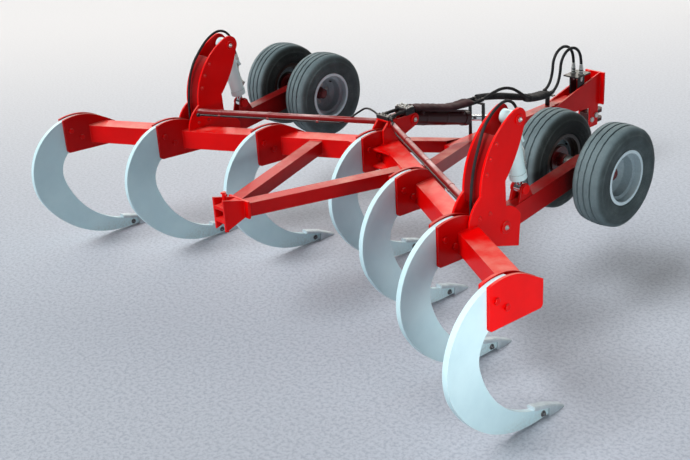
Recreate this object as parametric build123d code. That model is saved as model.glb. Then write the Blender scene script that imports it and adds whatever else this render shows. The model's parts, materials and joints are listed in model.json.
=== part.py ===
from build123d import *
import math
import os

# A trailed V-frame ripper. +X is its right-hand side, +Y the way it is drawn, and the ground is z = 0.
# Lengths are millimetres. Places along Y are counted from the rear edge of the nose shank's holder.

# General fits
weld_gap = 0.2
running_fit = 0.05
hole_play = 0.5
trim_reach = 20000.0

# Directions in the side plane, in degrees from straight ahead
upward = 90.0
rearward = 180.0
downward = 270.0

# Shank row
shank_count = 7
shank_spacing = 762.0
sweep_angle = 28.4

# Shank: a crown and a lower sweep, tangent to each other, on the outer and on the inner edge
shank_thickness = 38.0
heel_clearance = 14.0
crown_y = 116.0
crown_outer_radius = 453.0
crown_outer_angle = 209.0
lower_outer_radius = 887.0
hollow_shift_y = 31.0
hollow_drop = 7.0
crown_inner_radius = 214.0
crown_inner_angle = 195.2
lower_inner_radius = 748.0
lower_inner_angle = 252.0
head_gap = 12.0
toe_length = 152.0

# Chisel point
point_width = 64.0
point_overlap = 148.0
point_reach = 151.0
point_back_thickness = 27.0
point_middle_thickness = 24.0
point_edge = 12.0
point_bevel = 9.0
point_seat_gap = 0.3

# Main beams
beam_size = 150.0
beam_wall = 10.0
beam_y = 300.0
beam_over_crown = 269.0
gusset_reach = 190.0
gusset_thickness = 14.0

# Shank holders
holder_plate = 20.0
shank_play = 0.3
holder_margin = 10.0
holder_length = 485.0
holder_arc_angle = 58.0
holder_rear_drop = 105.0
holder_front_rise = 52.0
holder_front_drop = 138.0
holder_corner = 26.0
spacer_length = 38.0
spacer_margin = 30.0

# Shank bolts, placed from the crown's centre
bolt_radius = 12.5
bolt_head_radius = 22.0
bolt_head_height = 15.0
pivot_bolt = (34.0, 270.0)
shear_bolt = (-56.0, 345.0)

# Wheels in dual pairs, raised, placed from the beam's centre line height
lift_x = 1506.0
wheel_spacing = 530.0
axle_y = 754.0
axle_over_beam = 89.0
tyre_radius = 363.0
tyre_width = 240.0
tyre_wall = 15.0
tread_width = 196.0
tread_drop = 10.0
rib_count = 4
groove_width = 14.0
groove_depth = 11.0
bead_radius = 178.0
bead_fit = 0.3
flange_radius = 197.0
rim_width = 206.0
rim_wall = 6.0
well_radius = 150.0
well_width = 90.0
disc_thickness = 10.0
disc_dish = 30.0
disc_inset = 55.0
disc_flat_radius = 108.0
hub_pilot_radius = 52.0
hub_flange_radius = 98.0
hub_flange = 14.0
hub_inner_length = 70.0
hub_outer_length = 46.0
hub_cap_radius = 40.0
hub_cap_length = 16.0
axle_radius = 30.0
axle_collar_radius = 44.0
axle_end_play = 1.0

# Lift towers and wheel arms
pivot_y = -200.0
pivot_under_beam = 30.0
tower_pin_y = -70.0
tower_pin_over_beam = 685.0
tower_gap = 130.0
tower_plate = 16.0
tower_back_y = -440.0
tower_waist_over_beam = 265.0
tower_arc_radius = 522.0
tower_tip_angle = -35.0
tower_web_angle = 135.0
tower_web_foot_angle = 187.0
tower_neck_y = -200.0
tower_neck_over_beam = 300.0
tower_neck_bow = 22.0
tower_crotch_y = -192.0
tower_crotch_over_beam = 120.0
tower_toe_y = -40.0
tower_toe_over_beam = 15.0
tower_toe_bow = 20.0
tower_foot_y = -60.0
tower_foot_under_beam = 215.0
tower_heel_y = -555.0
tower_heel_height = 30.0
tower_heel_bow = 22.0
tower_root_y = -500.0
tower_web = 12.0
arm_width = 100.0
arm_height = 150.0
arm_wall = 9.0
arm_boss_play = 1.0
arm_pivot_radius = 78.0
arm_axle_radius = 72.0
drain_radius = 9.0
pivot_pin_radius = 30.0
tower_pin_radius = 22.0
pin_head = 12.0
pin_head_margin = 12.0

# Lift cylinder, from the tower's pin to the ears on the arm
ear_y = 50.0
ear_over_beam = 150.0
ear_radius = 42.0
ear_plate = 16.0
ear_foot = 75.0
eye_width = 52.0
eye_radius = 38.0
eye_play = 2.0
barrel_radius = 56.0
barrel_bore = 45.0
barrel_eye_radius = 48.0
barrel_eye_width = 84.0
barrel_length = 466.0
barrel_cap = 62.0
gland_length = 44.0
gland_radius = 61.0
rod_radius = 22.5
piston_length = 38.0
piston_setback = 4.0
port_drop = 230.0
port_radius = 14.0
port_reach = 30.0
port_neck = 45.0

# Drawbar
tongue_root_x = 490.0
hinge_over_front = 92.0
hinge_under_beam = 45.0
hinge_pin_radius = 22.0
hinge_boss_radius = 44.0
hinge_boss_width = 122.0
hinge_neck_width = 60.0
hinge_neck_height = 70.0
hinge_neck_length = 90.0
bracket_plate = 18.0
bracket_play = 1.0
bracket_height = 90.0
leg_size = 100.0
leg_wall = 8.0
join_y = 1230.0
pole_width = 100.0
pole_height = 120.0
pole_wall = 10.0
pole_rear_y = 1000.0
pole_front_y = 2620.0
pole_under_beam = 245.0

# Hitch head and clevis
head_plate = 14.0
head_rear_y = 2355.0
head_front_y = 3030.0
head_rear_height = 96.0
head_top_over_pole = 205.0
head_bottom_under_pole = 100.0
head_front_width = 210.0
head_front_plate = 18.0
cheek_rear_y = 2868.0
cheek_width = 124.0
cheek_bottom = 418.0
clevis_reach = 246.0
clevis_height = 118.0
clevis_lip = 14.0
jaw_gap = 52.0
jaw_depth = 112.0
jaw_pin_radius = 17.0
jaw_pin_setback = 52.0
clevis_bolt_radius = 12.0

# Levelling cylinder, from the mast to the pole
mast_pin_y = 540.0
mast_pin_over_beam = 190.0
mast_plate = 16.0
mast_gap = 92.0
mast_pin_radius = 24.0
mast_rear_y = 200.0
mast_cap = 12.0
mast_cap_length = 100.0
mast_eye_angle = -70.0
mast_eye_radius = 52.0
level_lug_y = 1650.0
level_lug_height = 70.0
level_barrel_radius = 60.0
level_bore = 48.0
level_barrel_length = 700.0
level_cap = 78.0
level_gland = 56.0
level_gland_radius = 66.0
level_rod_radius = 27.5
level_piston_at = 490.0
level_eye_radius = 40.0
level_eye_width = 60.0

# Stays from the mast to the towers
stay_radius = 24.0
stay_y = 330.0
stay_over_beam = 215.0

# Rear tow frame
rear_leg_x = 490.0
rear_apex_y = -1300.0
rear_leg_over_beam = 10.0
rear_head_y = -1165.0
rear_head_width = 212.0
rear_head_height = 128.0
rear_plate = 16.0
rear_cheek_gap = 92.0
rear_cheek_height = 236.0
rear_cheek_length = 190.0
rear_jaw_gap = 70.0
rear_jaw_plate = 24.0
rear_pin_radius = 16.0
rear_pin_setback = 58.0
rear_pin_grip = 92.0
rear_pin_tip = 92.0

# Hoses
hose_radius = 13.0
hose_spread = 42.0
hoop_y = 1335.0
hoop_top_over_pole = 288.0
hoop_strap = 8.0
hoop_half_width = 68.0
hoop_length = 34.0
post_y = 2306.0
post_height = 102.0
post_width = 44.0
rack_rear_y = 2640.0
rack_length = 205.0
rack_plate = 12.0
rack_over_pole = 235.0
rack_post_length = 90.0
rack_width = 152.0
coupler_radius = 19.0
coupler_length = 46.0
lift_hose_radius = 10.0
lift_hose_rise = 86.0
lift_hose_holder = 2
bend_share = 0.45

# Hose routes in the side plane: steps in Y and Z from the place that holds each run
mast_run = [(0.0, 0.0), (180.0, 14.0), (400.0, 4.0), (600.0, -34.0)]
hoop_run = [(-300.0, 62.0), (17.0, 14.0), (340.0, -50.0)]
slack_hoop_run = [(-300.0, 62.0), (17.0, 0.0), (175.0, 36.0), (312.0, 42.0), (424.0, 8.0), (505.0, -40.0)]
post_run = [(-310.0, 34.0), (-130.0, 4.0), (0.0, 0.0), (89.0, 56.0), (126.0, 157.0), (132.0, 265.0),
            (205.0, 344.0), (312.0, 357.0)]
rack_run = [(-34.0, 180.0), (0.0, 80.0), (0.0, 0.0)]
tip_run = [(95.0, -2.0), (66.5, 58.1), (23.3, 99.8), (-34.1, 117.3), (-93.2, 106.9), (-168.9, 68.3),
           (-250.6, -5.3)]
back_run = [(-320.5, -108.9), (-367.1, -230.3), (-391.9, -357.9), (-401.0, -487.6)]

# Worked-out layout
rake = math.radians(sweep_angle)
row_step = shank_spacing * math.tan(rake)
outer_index = shank_count // 2
half_gap = shank_thickness / 2 + shank_play
holder_half = half_gap + holder_plate
beam_end_x = outer_index * shank_spacing + half_gap
beam_reach = beam_size / 2 / math.cos(rake)
crown_rise = (crown_outer_radius - lower_outer_radius) * math.sin(math.radians(crown_outer_angle))
crown_z = heel_clearance + lower_outer_radius - crown_rise
beam_z = crown_z + beam_over_crown
beam_top = beam_z + beam_size / 2
head_front = beam_y - beam_reach - shank_thickness / 2 * math.tan(rake) - head_gap
holder_radius = crown_outer_radius + holder_margin
holder_rear_z = beam_z - holder_rear_drop
holder_front_z = beam_z - holder_front_drop
holder_front_top = beam_z + holder_front_rise
axle_z = beam_z + axle_over_beam
pivot_z = beam_z - pivot_under_beam
tower_pin_z = beam_z + tower_pin_over_beam
ear_z = beam_z + ear_over_beam
arm_length = math.dist((pivot_y, pivot_z), (axle_y, axle_z))
tower_half = tower_gap / 2 + tower_plate
hinge_y = beam_y + beam_reach - tongue_root_x * math.tan(rake) + hinge_over_front
hinge_z = beam_z - hinge_under_beam
pole_z = beam_z - pole_under_beam
pole_top = pole_z + pole_height / 2
mast_pin_z = beam_z + mast_pin_over_beam
mast_top = mast_pin_z + mast_eye_radius
level_lug_z = pole_top + level_lug_height
rear_leg_z = beam_z + rear_leg_over_beam
clevis_front_y = cheek_rear_y + clevis_reach
rearmost_y = crown_y - crown_outer_radius - outer_index * row_step
middle_y = (clevis_front_y + rearmost_y) / 2


def polar(centre, radius, degrees):
    angle = math.radians(degrees)
    return (centre[0] + radius * math.cos(angle), centre[1] + radius * math.sin(angle))


def slab(face, x_middle, thickness):
    """A plate with a side outline drawn in Y and Z, standing across X."""
    return extrude(Plane.YZ.offset(x_middle) * face, amount=thickness / 2, both=True)


def round_bar(start, end, radius):
    line = Vector(end) - Vector(start)
    bar = Cylinder(radius, line.length, align=(Align.CENTER, Align.CENTER, Align.MIN))
    return Plane(origin=start, z_dir=line) * bar


def cross_bar(y, z, radius, x_low, x_high):
    return round_bar((x_low, y, z), (x_high, y, z), radius)


def block(x_low, x_high, y_low, y_high, z_low, z_high):
    size = Box(x_high - x_low, y_high - y_low, z_high - z_low)
    return Pos((x_low + x_high) / 2, (y_low + y_high) / 2, (z_low + z_high) / 2) * size


def box_bar(start, end, width, height, wall=0.0):
    """A square-cut rectangular bar or tube between two points, with its section upright."""
    line = Vector(end) - Vector(start)
    section = Rectangle(width, height)
    if wall:
        section -= Rectangle(width - 2 * wall, height - 2 * wall)
    plane = Plane(origin=start, x_dir=line.cross(Vector(0, 0, 1)), z_dir=line)
    return extrude(plane * section, amount=line.length)


def x_range(x_low, x_high):
    return block(x_low, x_high, -trim_reach, trim_reach, -trim_reach, trim_reach)


def mirrored(shape):
    return mirror(shape, about=Plane.YZ)


def pin_with_heads(y, z, radius, x_low, x_high):
    """A cross pin with a round head outside each of the plates that it joins."""
    head = radius + pin_head_margin
    pin = cross_bar(y, z, radius, x_low - pin_head, x_high + pin_head)
    pin += cross_bar(y, z, head, x_low - pin_head, x_low)
    return pin + cross_bar(y, z, head, x_high, x_high + pin_head)


def beam_line(x):
    return beam_y - x * math.tan(rake)


def beam_bar(grow, wall, x_low, x_high):
    """The right-hand beam, or its outline grown by a gap, cut upright at both ends."""
    along = Vector(math.cos(rake), -math.sin(rake), 0)
    nose = Vector(0, beam_y, beam_z)
    far_end = nose + along * (beam_end_x / math.cos(rake) + beam_size)
    size = beam_size + 2 * grow
    return box_bar(nose - along * beam_size, far_end, size, size, wall) & x_range(x_low, x_high)


def beam_room():
    """What other pieces leave free for the right-hand beam."""
    return beam_bar(weld_gap, 0.0, 0.0, beam_end_x)


def main_beam():
    return beam_bar(0.0, beam_wall, weld_gap / 2, beam_end_x - weld_gap)


def apex_gussets():
    """Triangular plates in the corners between the nose holder and the beams, at top and bottom."""
    inner_x = holder_half + weld_gap
    rear_face = beam_y - beam_reach - weld_gap
    corner = rear_face - inner_x * math.tan(rake)
    tip_x = inner_x + gusset_reach
    tip_y = rear_face - tip_x * math.tan(rake)
    plan = make_face(Polyline((inner_x, corner), (tip_x, tip_y), (inner_x, tip_y), close=True))
    lower = beam_z - beam_size / 2
    plates = [extrude(Plane.XY.offset(z) * plan, amount=gusset_thickness, dir=(0, 0, 1))
              for z in (lower, beam_top - gusset_thickness)]
    return plates + [mirrored(plate) for plate in plates]


def shank_place(index):
    return Pos(index * shank_spacing, -abs(index) * row_step, 0)


def bolt_points():
    return [(crown_y + dy, crown_z + dz) for dy, dz in (pivot_bolt, shear_bolt)]


def bolt_holes():
    return [cross_bar(y, z, bolt_radius + hole_play, -holder_half, holder_half) for y, z in bolt_points()]


def holder_outline():
    crown = (crown_y, crown_z)
    rear_top = crown_z + math.sqrt(holder_radius ** 2 - crown_y ** 2)
    arc_end = polar(crown, holder_radius, holder_arc_angle)
    sides = [
        Line((0, holder_rear_z), (0, rear_top)),
        ThreePointArc((0, rear_top), polar(crown, holder_radius, upward), arc_end),
        Line(arc_end, (holder_length, holder_front_top)),
        Line((holder_length, holder_front_top), (holder_length, holder_front_z)),
        Line((holder_length, holder_front_z), (0, holder_rear_z)),
    ]
    face = make_face(sides)
    return fillet(face.vertices().sort_by(Axis.Y)[:2], holder_corner)


def shank_holder(index):
    """Two side plates round the beam, joined by a spacer in front of it."""
    outline = holder_outline()
    plate_x = half_gap + holder_plate / 2
    solid = slab(outline, plate_x, holder_plate) + slab(outline, -plate_x, holder_plate)
    solid += block(-half_gap, half_gap, holder_length - spacer_length, holder_length,
                   holder_front_z + spacer_margin, holder_front_top - spacer_margin)
    for hole in bolt_holes():
        solid -= hole
    solid = shank_place(index) * solid
    return solid - beam_room() - mirrored(beam_room())


def toe_line(y):
    """Height of the toe's upper edge, which runs on straight from the inner sweep."""
    centre = lower_inner_centre()
    end = polar(centre, lower_inner_radius, lower_inner_angle)
    slope = math.tan(math.radians(lower_inner_angle + 90))
    return end[1] + (y - end[0]) * slope


def inner_crown_centre():
    return (crown_y + hollow_shift_y, crown_z - hollow_drop)


def lower_inner_centre():
    return polar(inner_crown_centre(), crown_inner_radius - lower_inner_radius, crown_inner_angle)


def toe_end():
    return polar(lower_inner_centre(), lower_inner_radius, lower_inner_angle)[0] + toe_length


def shank_outline():
    crown = (crown_y, crown_z)
    hollow = inner_crown_centre()
    lower_outer = polar(crown, crown_outer_radius - lower_outer_radius, crown_outer_angle)
    lower_inner = lower_inner_centre()
    head_outer = math.degrees(math.acos((head_front - crown_y) / crown_outer_radius))
    head_inner = math.degrees(math.acos((head_front - hollow[0]) / crown_inner_radius))
    toe = toe_end()
    edges = [
        CenterArc(crown, crown_outer_radius, head_outer, crown_outer_angle - head_outer),
        CenterArc(lower_outer, lower_outer_radius, crown_outer_angle, downward - crown_outer_angle),
        Line(polar(lower_outer, lower_outer_radius, downward), (toe, heel_clearance)),
        Line((toe, heel_clearance), (toe, toe_line(toe))),
        Line((toe, toe_line(toe)), polar(lower_inner, lower_inner_radius, lower_inner_angle)),
        CenterArc(lower_inner, lower_inner_radius, crown_inner_angle, lower_inner_angle - crown_inner_angle),
        CenterArc(hollow, crown_inner_radius, head_inner, crown_inner_angle - head_inner),
        Line(polar(hollow, crown_inner_radius, head_inner), polar(crown, crown_outer_radius, head_outer)),
    ]
    return make_face(edges)


def shank(index):
    solid = slab(shank_outline(), 0.0, shank_thickness)
    for hole in bolt_holes():
        solid -= hole
    return shank_place(index) * solid


def shank_bolt(y, z):
    """A hexagon bolt through both plates, with its nut."""
    hexagon = RegularPolygon(bolt_head_radius, 6)
    bolt = cross_bar(y, z, bolt_radius, -holder_half - bolt_head_height, holder_half + bolt_head_height)
    for x in (-holder_half - bolt_head_height, holder_half):
        plane = Plane(origin=(x, y, z), x_dir=(0, 1, 0), z_dir=(1, 0, 0))
        bolt += extrude(plane * hexagon, amount=bolt_head_height)
    return bolt


def ripper_point(index):
    """A chisel bar that sits on the toe, with a flat sole in front of it."""
    seat = toe_end() + point_seat_gap
    rear = toe_end() - point_overlap
    tip = toe_end() + point_reach
    low = toe_line(rear) + point_seat_gap
    step = toe_line(seat) + point_seat_gap
    outline = make_face(Polyline(
        (rear, low), (rear, low + point_back_thickness), (seat, step + point_middle_thickness),
        (tip, point_edge), (tip, 0), (seat, 0), (seat, step), close=True))
    solid = slab(outline, 0.0, point_width)
    upper = solid.faces().filter_by(lambda face: face.normal_at().Z > face.normal_at().Y > 0)
    long_edges = [edge for face in upper.sort_by(Axis.Z)[-2:] for edge in face.edges()
                  if abs(edge.tangent_at(0.5).X) < abs(edge.tangent_at(0.5).Y)]
    return shank_place(index) * chamfer(long_edges, point_bevel)


def tower_outline():
    """A hooked plate: round back, round tip about the cylinder's pin, waist and a foot round the pivot."""
    back = (tower_back_y + tower_arc_radius, beam_z + tower_waist_over_beam)
    pin = (tower_pin_y, tower_pin_z)
    reach = math.dist(back, pin)
    tip_radius = tower_arc_radius - reach
    tip_start = math.degrees(math.atan2(pin[1] - back[1], pin[0] - back[0]))
    waist = (tower_back_y, back[1])
    tip_end = polar(pin, tip_radius, tower_tip_angle)
    neck = (tower_neck_y, beam_z + tower_neck_over_beam)
    crotch = (tower_crotch_y, beam_z + tower_crotch_over_beam)
    toe = (tower_toe_y, beam_z + tower_toe_over_beam)
    foot = (tower_foot_y, beam_z - tower_foot_under_beam)
    seat = beam_top + weld_gap
    heel = (tower_heel_y, seat + tower_heel_height)
    edges = [
        Line((tower_root_y, seat), (tower_heel_y, seat)),
        Line((tower_heel_y, seat), heel),
        SagittaArc(heel, waist, tower_heel_bow),
        CenterArc(back, tower_arc_radius, rearward, tip_start - rearward),
        CenterArc(pin, tip_radius, tip_start, tower_tip_angle - tip_start),
        SagittaArc(tip_end, neck, tower_neck_bow),
        Line(neck, crotch),
        SagittaArc(crotch, toe, tower_toe_bow),
        Line(toe, foot),
        Line(foot, (beam_line(lift_x + tower_half) + beam_reach, beam_z - beam_size / 2)),
        Line((beam_line(lift_x + tower_half) + beam_reach, beam_z - beam_size / 2),
             (tower_root_y, beam_z - beam_size / 2)),
        Line((tower_root_y, beam_z - beam_size / 2), (tower_root_y, seat)),
    ]
    return make_face(edges)


def lift_tower():
    """Right-hand tower: two hooked plates and the web between their backs."""
    outline = tower_outline()
    plate_x = (tower_gap + tower_plate) / 2
    solid = slab(outline, lift_x + plate_x, tower_plate) + slab(outline, lift_x - plate_x, tower_plate)
    back = (tower_back_y + tower_arc_radius, beam_z + tower_waist_over_beam)
    ring = Pos(*back) * (Circle(tower_arc_radius) - Circle(tower_arc_radius - tower_web))
    sector = make_face(Polyline(back, polar(back, 2 * tower_arc_radius, tower_web_foot_angle),
                                polar(back, 2 * tower_arc_radius, tower_web_angle), close=True))
    solid += slab(ring & sector, lift_x, tower_gap)
    for y, z, radius in ((pivot_y, pivot_z, pivot_pin_radius), (tower_pin_y, tower_pin_z, tower_pin_radius)):
        solid -= cross_bar(y, z, radius + running_fit, lift_x - tower_half, lift_x + tower_half)
    return solid - beam_room()


def arm_plane():
    """Side plane of the right-hand arm: along the arm, then square to it and upward."""
    along = (0, axle_y - pivot_y, axle_z - pivot_z)
    return Plane(origin=(lift_x, pivot_y, pivot_z), x_dir=along, z_dir=(1, 0, 0))


def arm_cylinder(u, radius, width):
    return arm_plane() * (Pos(u, 0, 0) * Cylinder(radius, width))


def wheel_arm():
    """A box arm with a pivot boss, an axle boss and two ears for the lift cylinder."""
    plane = arm_plane()
    tube = Box(arm_length, arm_height, arm_width)
    tube -= Box(arm_length, arm_height - 2 * arm_wall, arm_width - 2 * arm_wall)
    solid = plane * (Pos(arm_length / 2, 0, 0) * tube)
    solid += arm_cylinder(0.0, arm_pivot_radius, tower_gap - 2 * arm_boss_play)
    solid += arm_cylinder(arm_length, arm_axle_radius, arm_width)
    ear = plane.to_local_coords(Vector(lift_x, ear_y, ear_z))
    foot = arm_height / 2 - arm_wall / 2
    sides = [
        Line((ear.X - ear_foot, foot), (ear.X - ear_radius, ear.Y)),
        ThreePointArc((ear.X - ear_radius, ear.Y), (ear.X, ear.Y + ear_radius), (ear.X + ear_radius, ear.Y)),
        Line((ear.X + ear_radius, ear.Y), (ear.X + ear_foot, foot)),
        Line((ear.X + ear_foot, foot), (ear.X - ear_foot, foot)),
    ]
    outline = make_face(sides) - Pos(ear.X, ear.Y) * Circle(rod_radius + running_fit)
    for side in (-1, 1):
        middle = side * (eye_width / 2 + eye_play + ear_plate / 2)
        solid += extrude(plane * (Pos(0, 0, middle) * outline), amount=ear_plate / 2, both=True)
    solid -= arm_cylinder(0.0, pivot_pin_radius + running_fit, tower_gap)
    solid -= arm_cylinder(arm_length, axle_radius + running_fit, tower_gap)
    drain = Pos(arm_length / 2, -arm_height / 2, 0) * (Rot(90, 0, 0) * Cylinder(drain_radius, arm_height / 2))
    return solid - plane * drain


def arm_pins():
    """The two ends of the rod's pin, one in each ear."""
    inner = eye_width / 2 + eye_play
    outer = inner + ear_plate
    ends = []
    for low, high in ((inner, outer), (-outer, -inner)):
        end = cross_bar(ear_y, ear_z, rod_radius, lift_x + low, lift_x + high)
        face = high if high > 0 else low - pin_head
        head = cross_bar(ear_y, ear_z, rod_radius + pin_head_margin, lift_x + face, lift_x + face + pin_head)
        ends.append(end + head)
    return ends


def wheel_axle():
    """A cross shaft through the arm, with a collar behind each hub."""
    disc = wheel_spacing / 2 - disc_inset
    hub_back = disc - hub_inner_length - axle_end_play
    tip = disc + hub_outer_length - axle_end_play
    shaft = cross_bar(axle_y, axle_z, axle_radius, lift_x - tip, lift_x + tip)
    for low, high in ((arm_width / 2, hub_back), (-hub_back, -arm_width / 2)):
        shaft += cross_bar(axle_y, axle_z, axle_collar_radius, lift_x + low, lift_x + high)
    return shaft


def tread_radius(x):
    return tyre_radius - tread_drop * (2 * x / tread_width) ** 2


def tyre_profile():
    """Half section of a ribbed implement tyre: ribs and grooves, round walls, beads and a hollow inside."""
    rib = (tread_width - (rib_count - 1) * groove_width) / rib_count
    crown = []
    for k in range(rib_count):
        low = -tread_width / 2 + k * (rib + groove_width)
        high = low + rib
        if k:
            crown.append((low, tread_radius(low) - groove_depth))
        crown.append((low, tread_radius(low)))
        crown.append((high, tread_radius(high)))
        if k < rib_count - 1:
            crown.append((high, tread_radius(high) - groove_depth))
    half = tyre_width / 2
    bead = bead_radius + bead_fit
    heel = rim_width / 2 - rim_wall - bead_fit
    side_z = (tyre_radius + flange_radius) / 2
    lip = flange_radius + bead_fit
    shoulder = tread_radius(tread_width / 2)
    inner_half = half - tyre_wall
    inner_crown = tyre_radius - groove_depth - tyre_wall
    inner_shoulder = (tread_width / 2 - tyre_wall, inner_crown - tread_drop)
    far_shoulder = (-inner_shoulder[0], inner_shoulder[1])
    toe = heel - 2 * tyre_wall
    edges = [
        Polyline(*crown),
        ThreePointArc((tread_width / 2, shoulder), (half, side_z), (rim_width / 2, lip)),
        Polyline((rim_width / 2, lip), (heel, lip), (heel, bead), (toe, bead)),
        ThreePointArc((toe, bead), (inner_half, side_z), inner_shoulder),
        ThreePointArc(inner_shoulder, (0, inner_crown), far_shoulder),
        ThreePointArc(far_shoulder, (-inner_half, side_z), (-toe, bead)),
        Polyline((-toe, bead), (-heel, bead), (-heel, lip), (-rim_width / 2, lip)),
        ThreePointArc((-rim_width / 2, lip), (-half, side_z), (-tread_width / 2, shoulder)),
    ]
    return make_face(edges)


def rim_profile():
    """Half section of a drop-centre rim with its dished disc."""
    edge = rim_width / 2
    bead = bead_radius
    step = well_width / 2
    outer = [(-edge, flange_radius), (rim_wall - edge, flange_radius), (rim_wall - edge, bead),
             (-step - rim_wall, bead), (-step, well_radius), (step, well_radius), (step + rim_wall, bead),
             (edge - rim_wall, bead), (edge - rim_wall, flange_radius), (edge, flange_radius)]
    seat = bead - rim_wall
    floor = well_radius - rim_wall
    inner = [(edge, seat), (step + 2 * rim_wall, seat), (step + rim_wall, floor), (-step - rim_wall, floor),
             (-step - 2 * rim_wall, seat), (-edge, seat)]
    rim = make_face(Polyline(*outer, *inner, close=True))
    hole = hub_pilot_radius + hole_play
    root = well_radius - rim_wall / 2
    disc = make_face(Polyline(
        (0, hole), (disc_thickness, hole), (disc_thickness, disc_flat_radius),
        (disc_dish + disc_thickness, root), (disc_dish, root), (0, disc_flat_radius), close=True))
    return rim + Pos(-disc_inset, 0) * disc


def hub_profile():
    """Half section of the hub: flange behind the disc, pilot through it, long barrel and closed cap."""
    bore = axle_radius + running_fit
    barrel = axle_collar_radius + pin_head_margin / 2
    section = make_face(Polyline(
        (-hub_inner_length, bore), (-hub_inner_length, barrel), (-hub_flange, barrel),
        (-hub_flange, hub_flange_radius), (0, hub_flange_radius), (0, hub_pilot_radius),
        (disc_thickness + hole_play, hub_pilot_radius),
        (hub_outer_length, hub_cap_radius + hole_play), (hub_outer_length, hub_cap_radius),
        (hub_outer_length + hub_cap_length, hub_cap_radius - hub_cap_length / 2),
        (hub_outer_length + hub_cap_length, 0), (hub_outer_length, 0), (hub_outer_length, bore), close=True))
    return Pos(-disc_inset, 0) * section


def wheel_places():
    """Wheel centres from left to right, each with the way its hub cap faces."""
    half = wheel_spacing / 2
    return [(-lift_x - half, -1), (-lift_x + half, 1), (lift_x - half, -1), (lift_x + half, 1)]


def wheel_piece(profile, x, facing):
    solid = revolve(profile, Axis.X, 360)
    if facing < 0:
        solid = mirrored(solid)
    return Pos(x, axle_y, axle_z) * solid


def lift_axis():
    """Pin-to-pin plane of the right-hand lift cylinder: its Z runs from the tower to the arm."""
    top = Vector(lift_x, tower_pin_y, tower_pin_z)
    return Plane(origin=top, x_dir=(1, 0, 0), z_dir=Vector(lift_x, ear_y, ear_z) - top)


def lift_span():
    return math.dist((tower_pin_y, tower_pin_z), (ear_y, ear_z))


def stack(radius, low, high):
    return Pos(0, 0, low) * Cylinder(radius, high - low, align=(Align.CENTER, Align.CENTER, Align.MIN))


def eye(radius, width, at):
    return Pos(0, 0, at) * (Rot(0, 90, 0) * Cylinder(radius, width))


def cylinder_barrel(radius, bore, cap, length, gland, gland_outer, rod, eye_outer, eye_wide, pin):
    """A barrel with its eye at the origin, open along the bore and narrowed by the gland."""
    solid = stack(eye_wide / 2, 0.0, cap) + stack(radius, eye_outer + eye_play, length)
    solid += stack(gland_outer, length - gland, length)
    solid += eye(eye_outer, eye_wide, 0.0)
    solid -= stack(bore, cap, length - gland)
    solid -= stack(rod + running_fit, length - gland, length)
    return solid - eye(pin + running_fit, 2 * eye_wide, 0.0)


def lift_barrel():
    solid = cylinder_barrel(barrel_radius, barrel_bore, barrel_cap, barrel_length, gland_length, gland_radius,
                            rod_radius, barrel_eye_radius, barrel_eye_width, tower_pin_radius)
    solid = lift_axis() * solid
    return solid + port_stub()


def port_direction():
    """Square to the cylinder, toward the front."""
    axis = lift_axis().z_dir
    return Vector(1, 0, 0).cross(axis) * (1 if Vector(1, 0, 0).cross(axis).Y > 0 else -1)


def port_corner():
    root = Vector(lift_x, tower_pin_y, tower_pin_z) + lift_axis().z_dir * port_drop
    return root + port_direction() * (barrel_radius + port_reach)


def port_mouth():
    return port_corner() - lift_axis().z_dir * port_neck


def port_stub():
    """An elbow on the barrel's front, with its neck pointing back up along the barrel."""
    root = port_corner() - port_direction() * (port_reach + (barrel_radius - barrel_bore) / 2)
    stub = round_bar(root, port_corner() + port_direction() * port_radius, port_radius)
    return stub + round_bar(port_corner(), port_mouth(), port_radius)


def lift_rod():
    """Piston, rod and eye."""
    start = barrel_cap + piston_setback
    span = lift_span()
    solid = stack(rod_radius, start, span) + stack(barrel_bore - running_fit, start, start + piston_length)
    return lift_axis() * (solid + eye(eye_radius, eye_width, span))


def hinge_bracket():
    """Two ears on the right-hand beam's front, on either side of the tongue's boss."""
    low = hinge_z - bracket_height / 2
    ears = []
    for side in (-1, 1):
        inner = hinge_boss_width / 2 + bracket_play
        middle = tongue_root_x + side * (inner + bracket_plate / 2)
        rear = beam_line(middle) + beam_reach - beam_size / 4
        outline = make_face([
            Line((rear, low), (hinge_y, low)),
            ThreePointArc((hinge_y, low), (hinge_y + bracket_height / 2, hinge_z),
                          (hinge_y, low + bracket_height)),
            Line((hinge_y, low + bracket_height), (rear, low + bracket_height)),
            Line((rear, low + bracket_height), (rear, low)),
        ])
        ear = slab(outline, middle, bracket_plate) - beam_room()
        ears.append(ear - cross_bar(hinge_y, hinge_z, hinge_pin_radius + running_fit, 0, 2 * tongue_root_x))
    return ears


def pole_bar(grow, wall):
    return box_bar((0, pole_rear_y - grow, pole_z), (0, pole_front_y + grow, pole_z),
                   pole_width + 2 * grow, pole_height + 2 * grow, wall)


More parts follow.
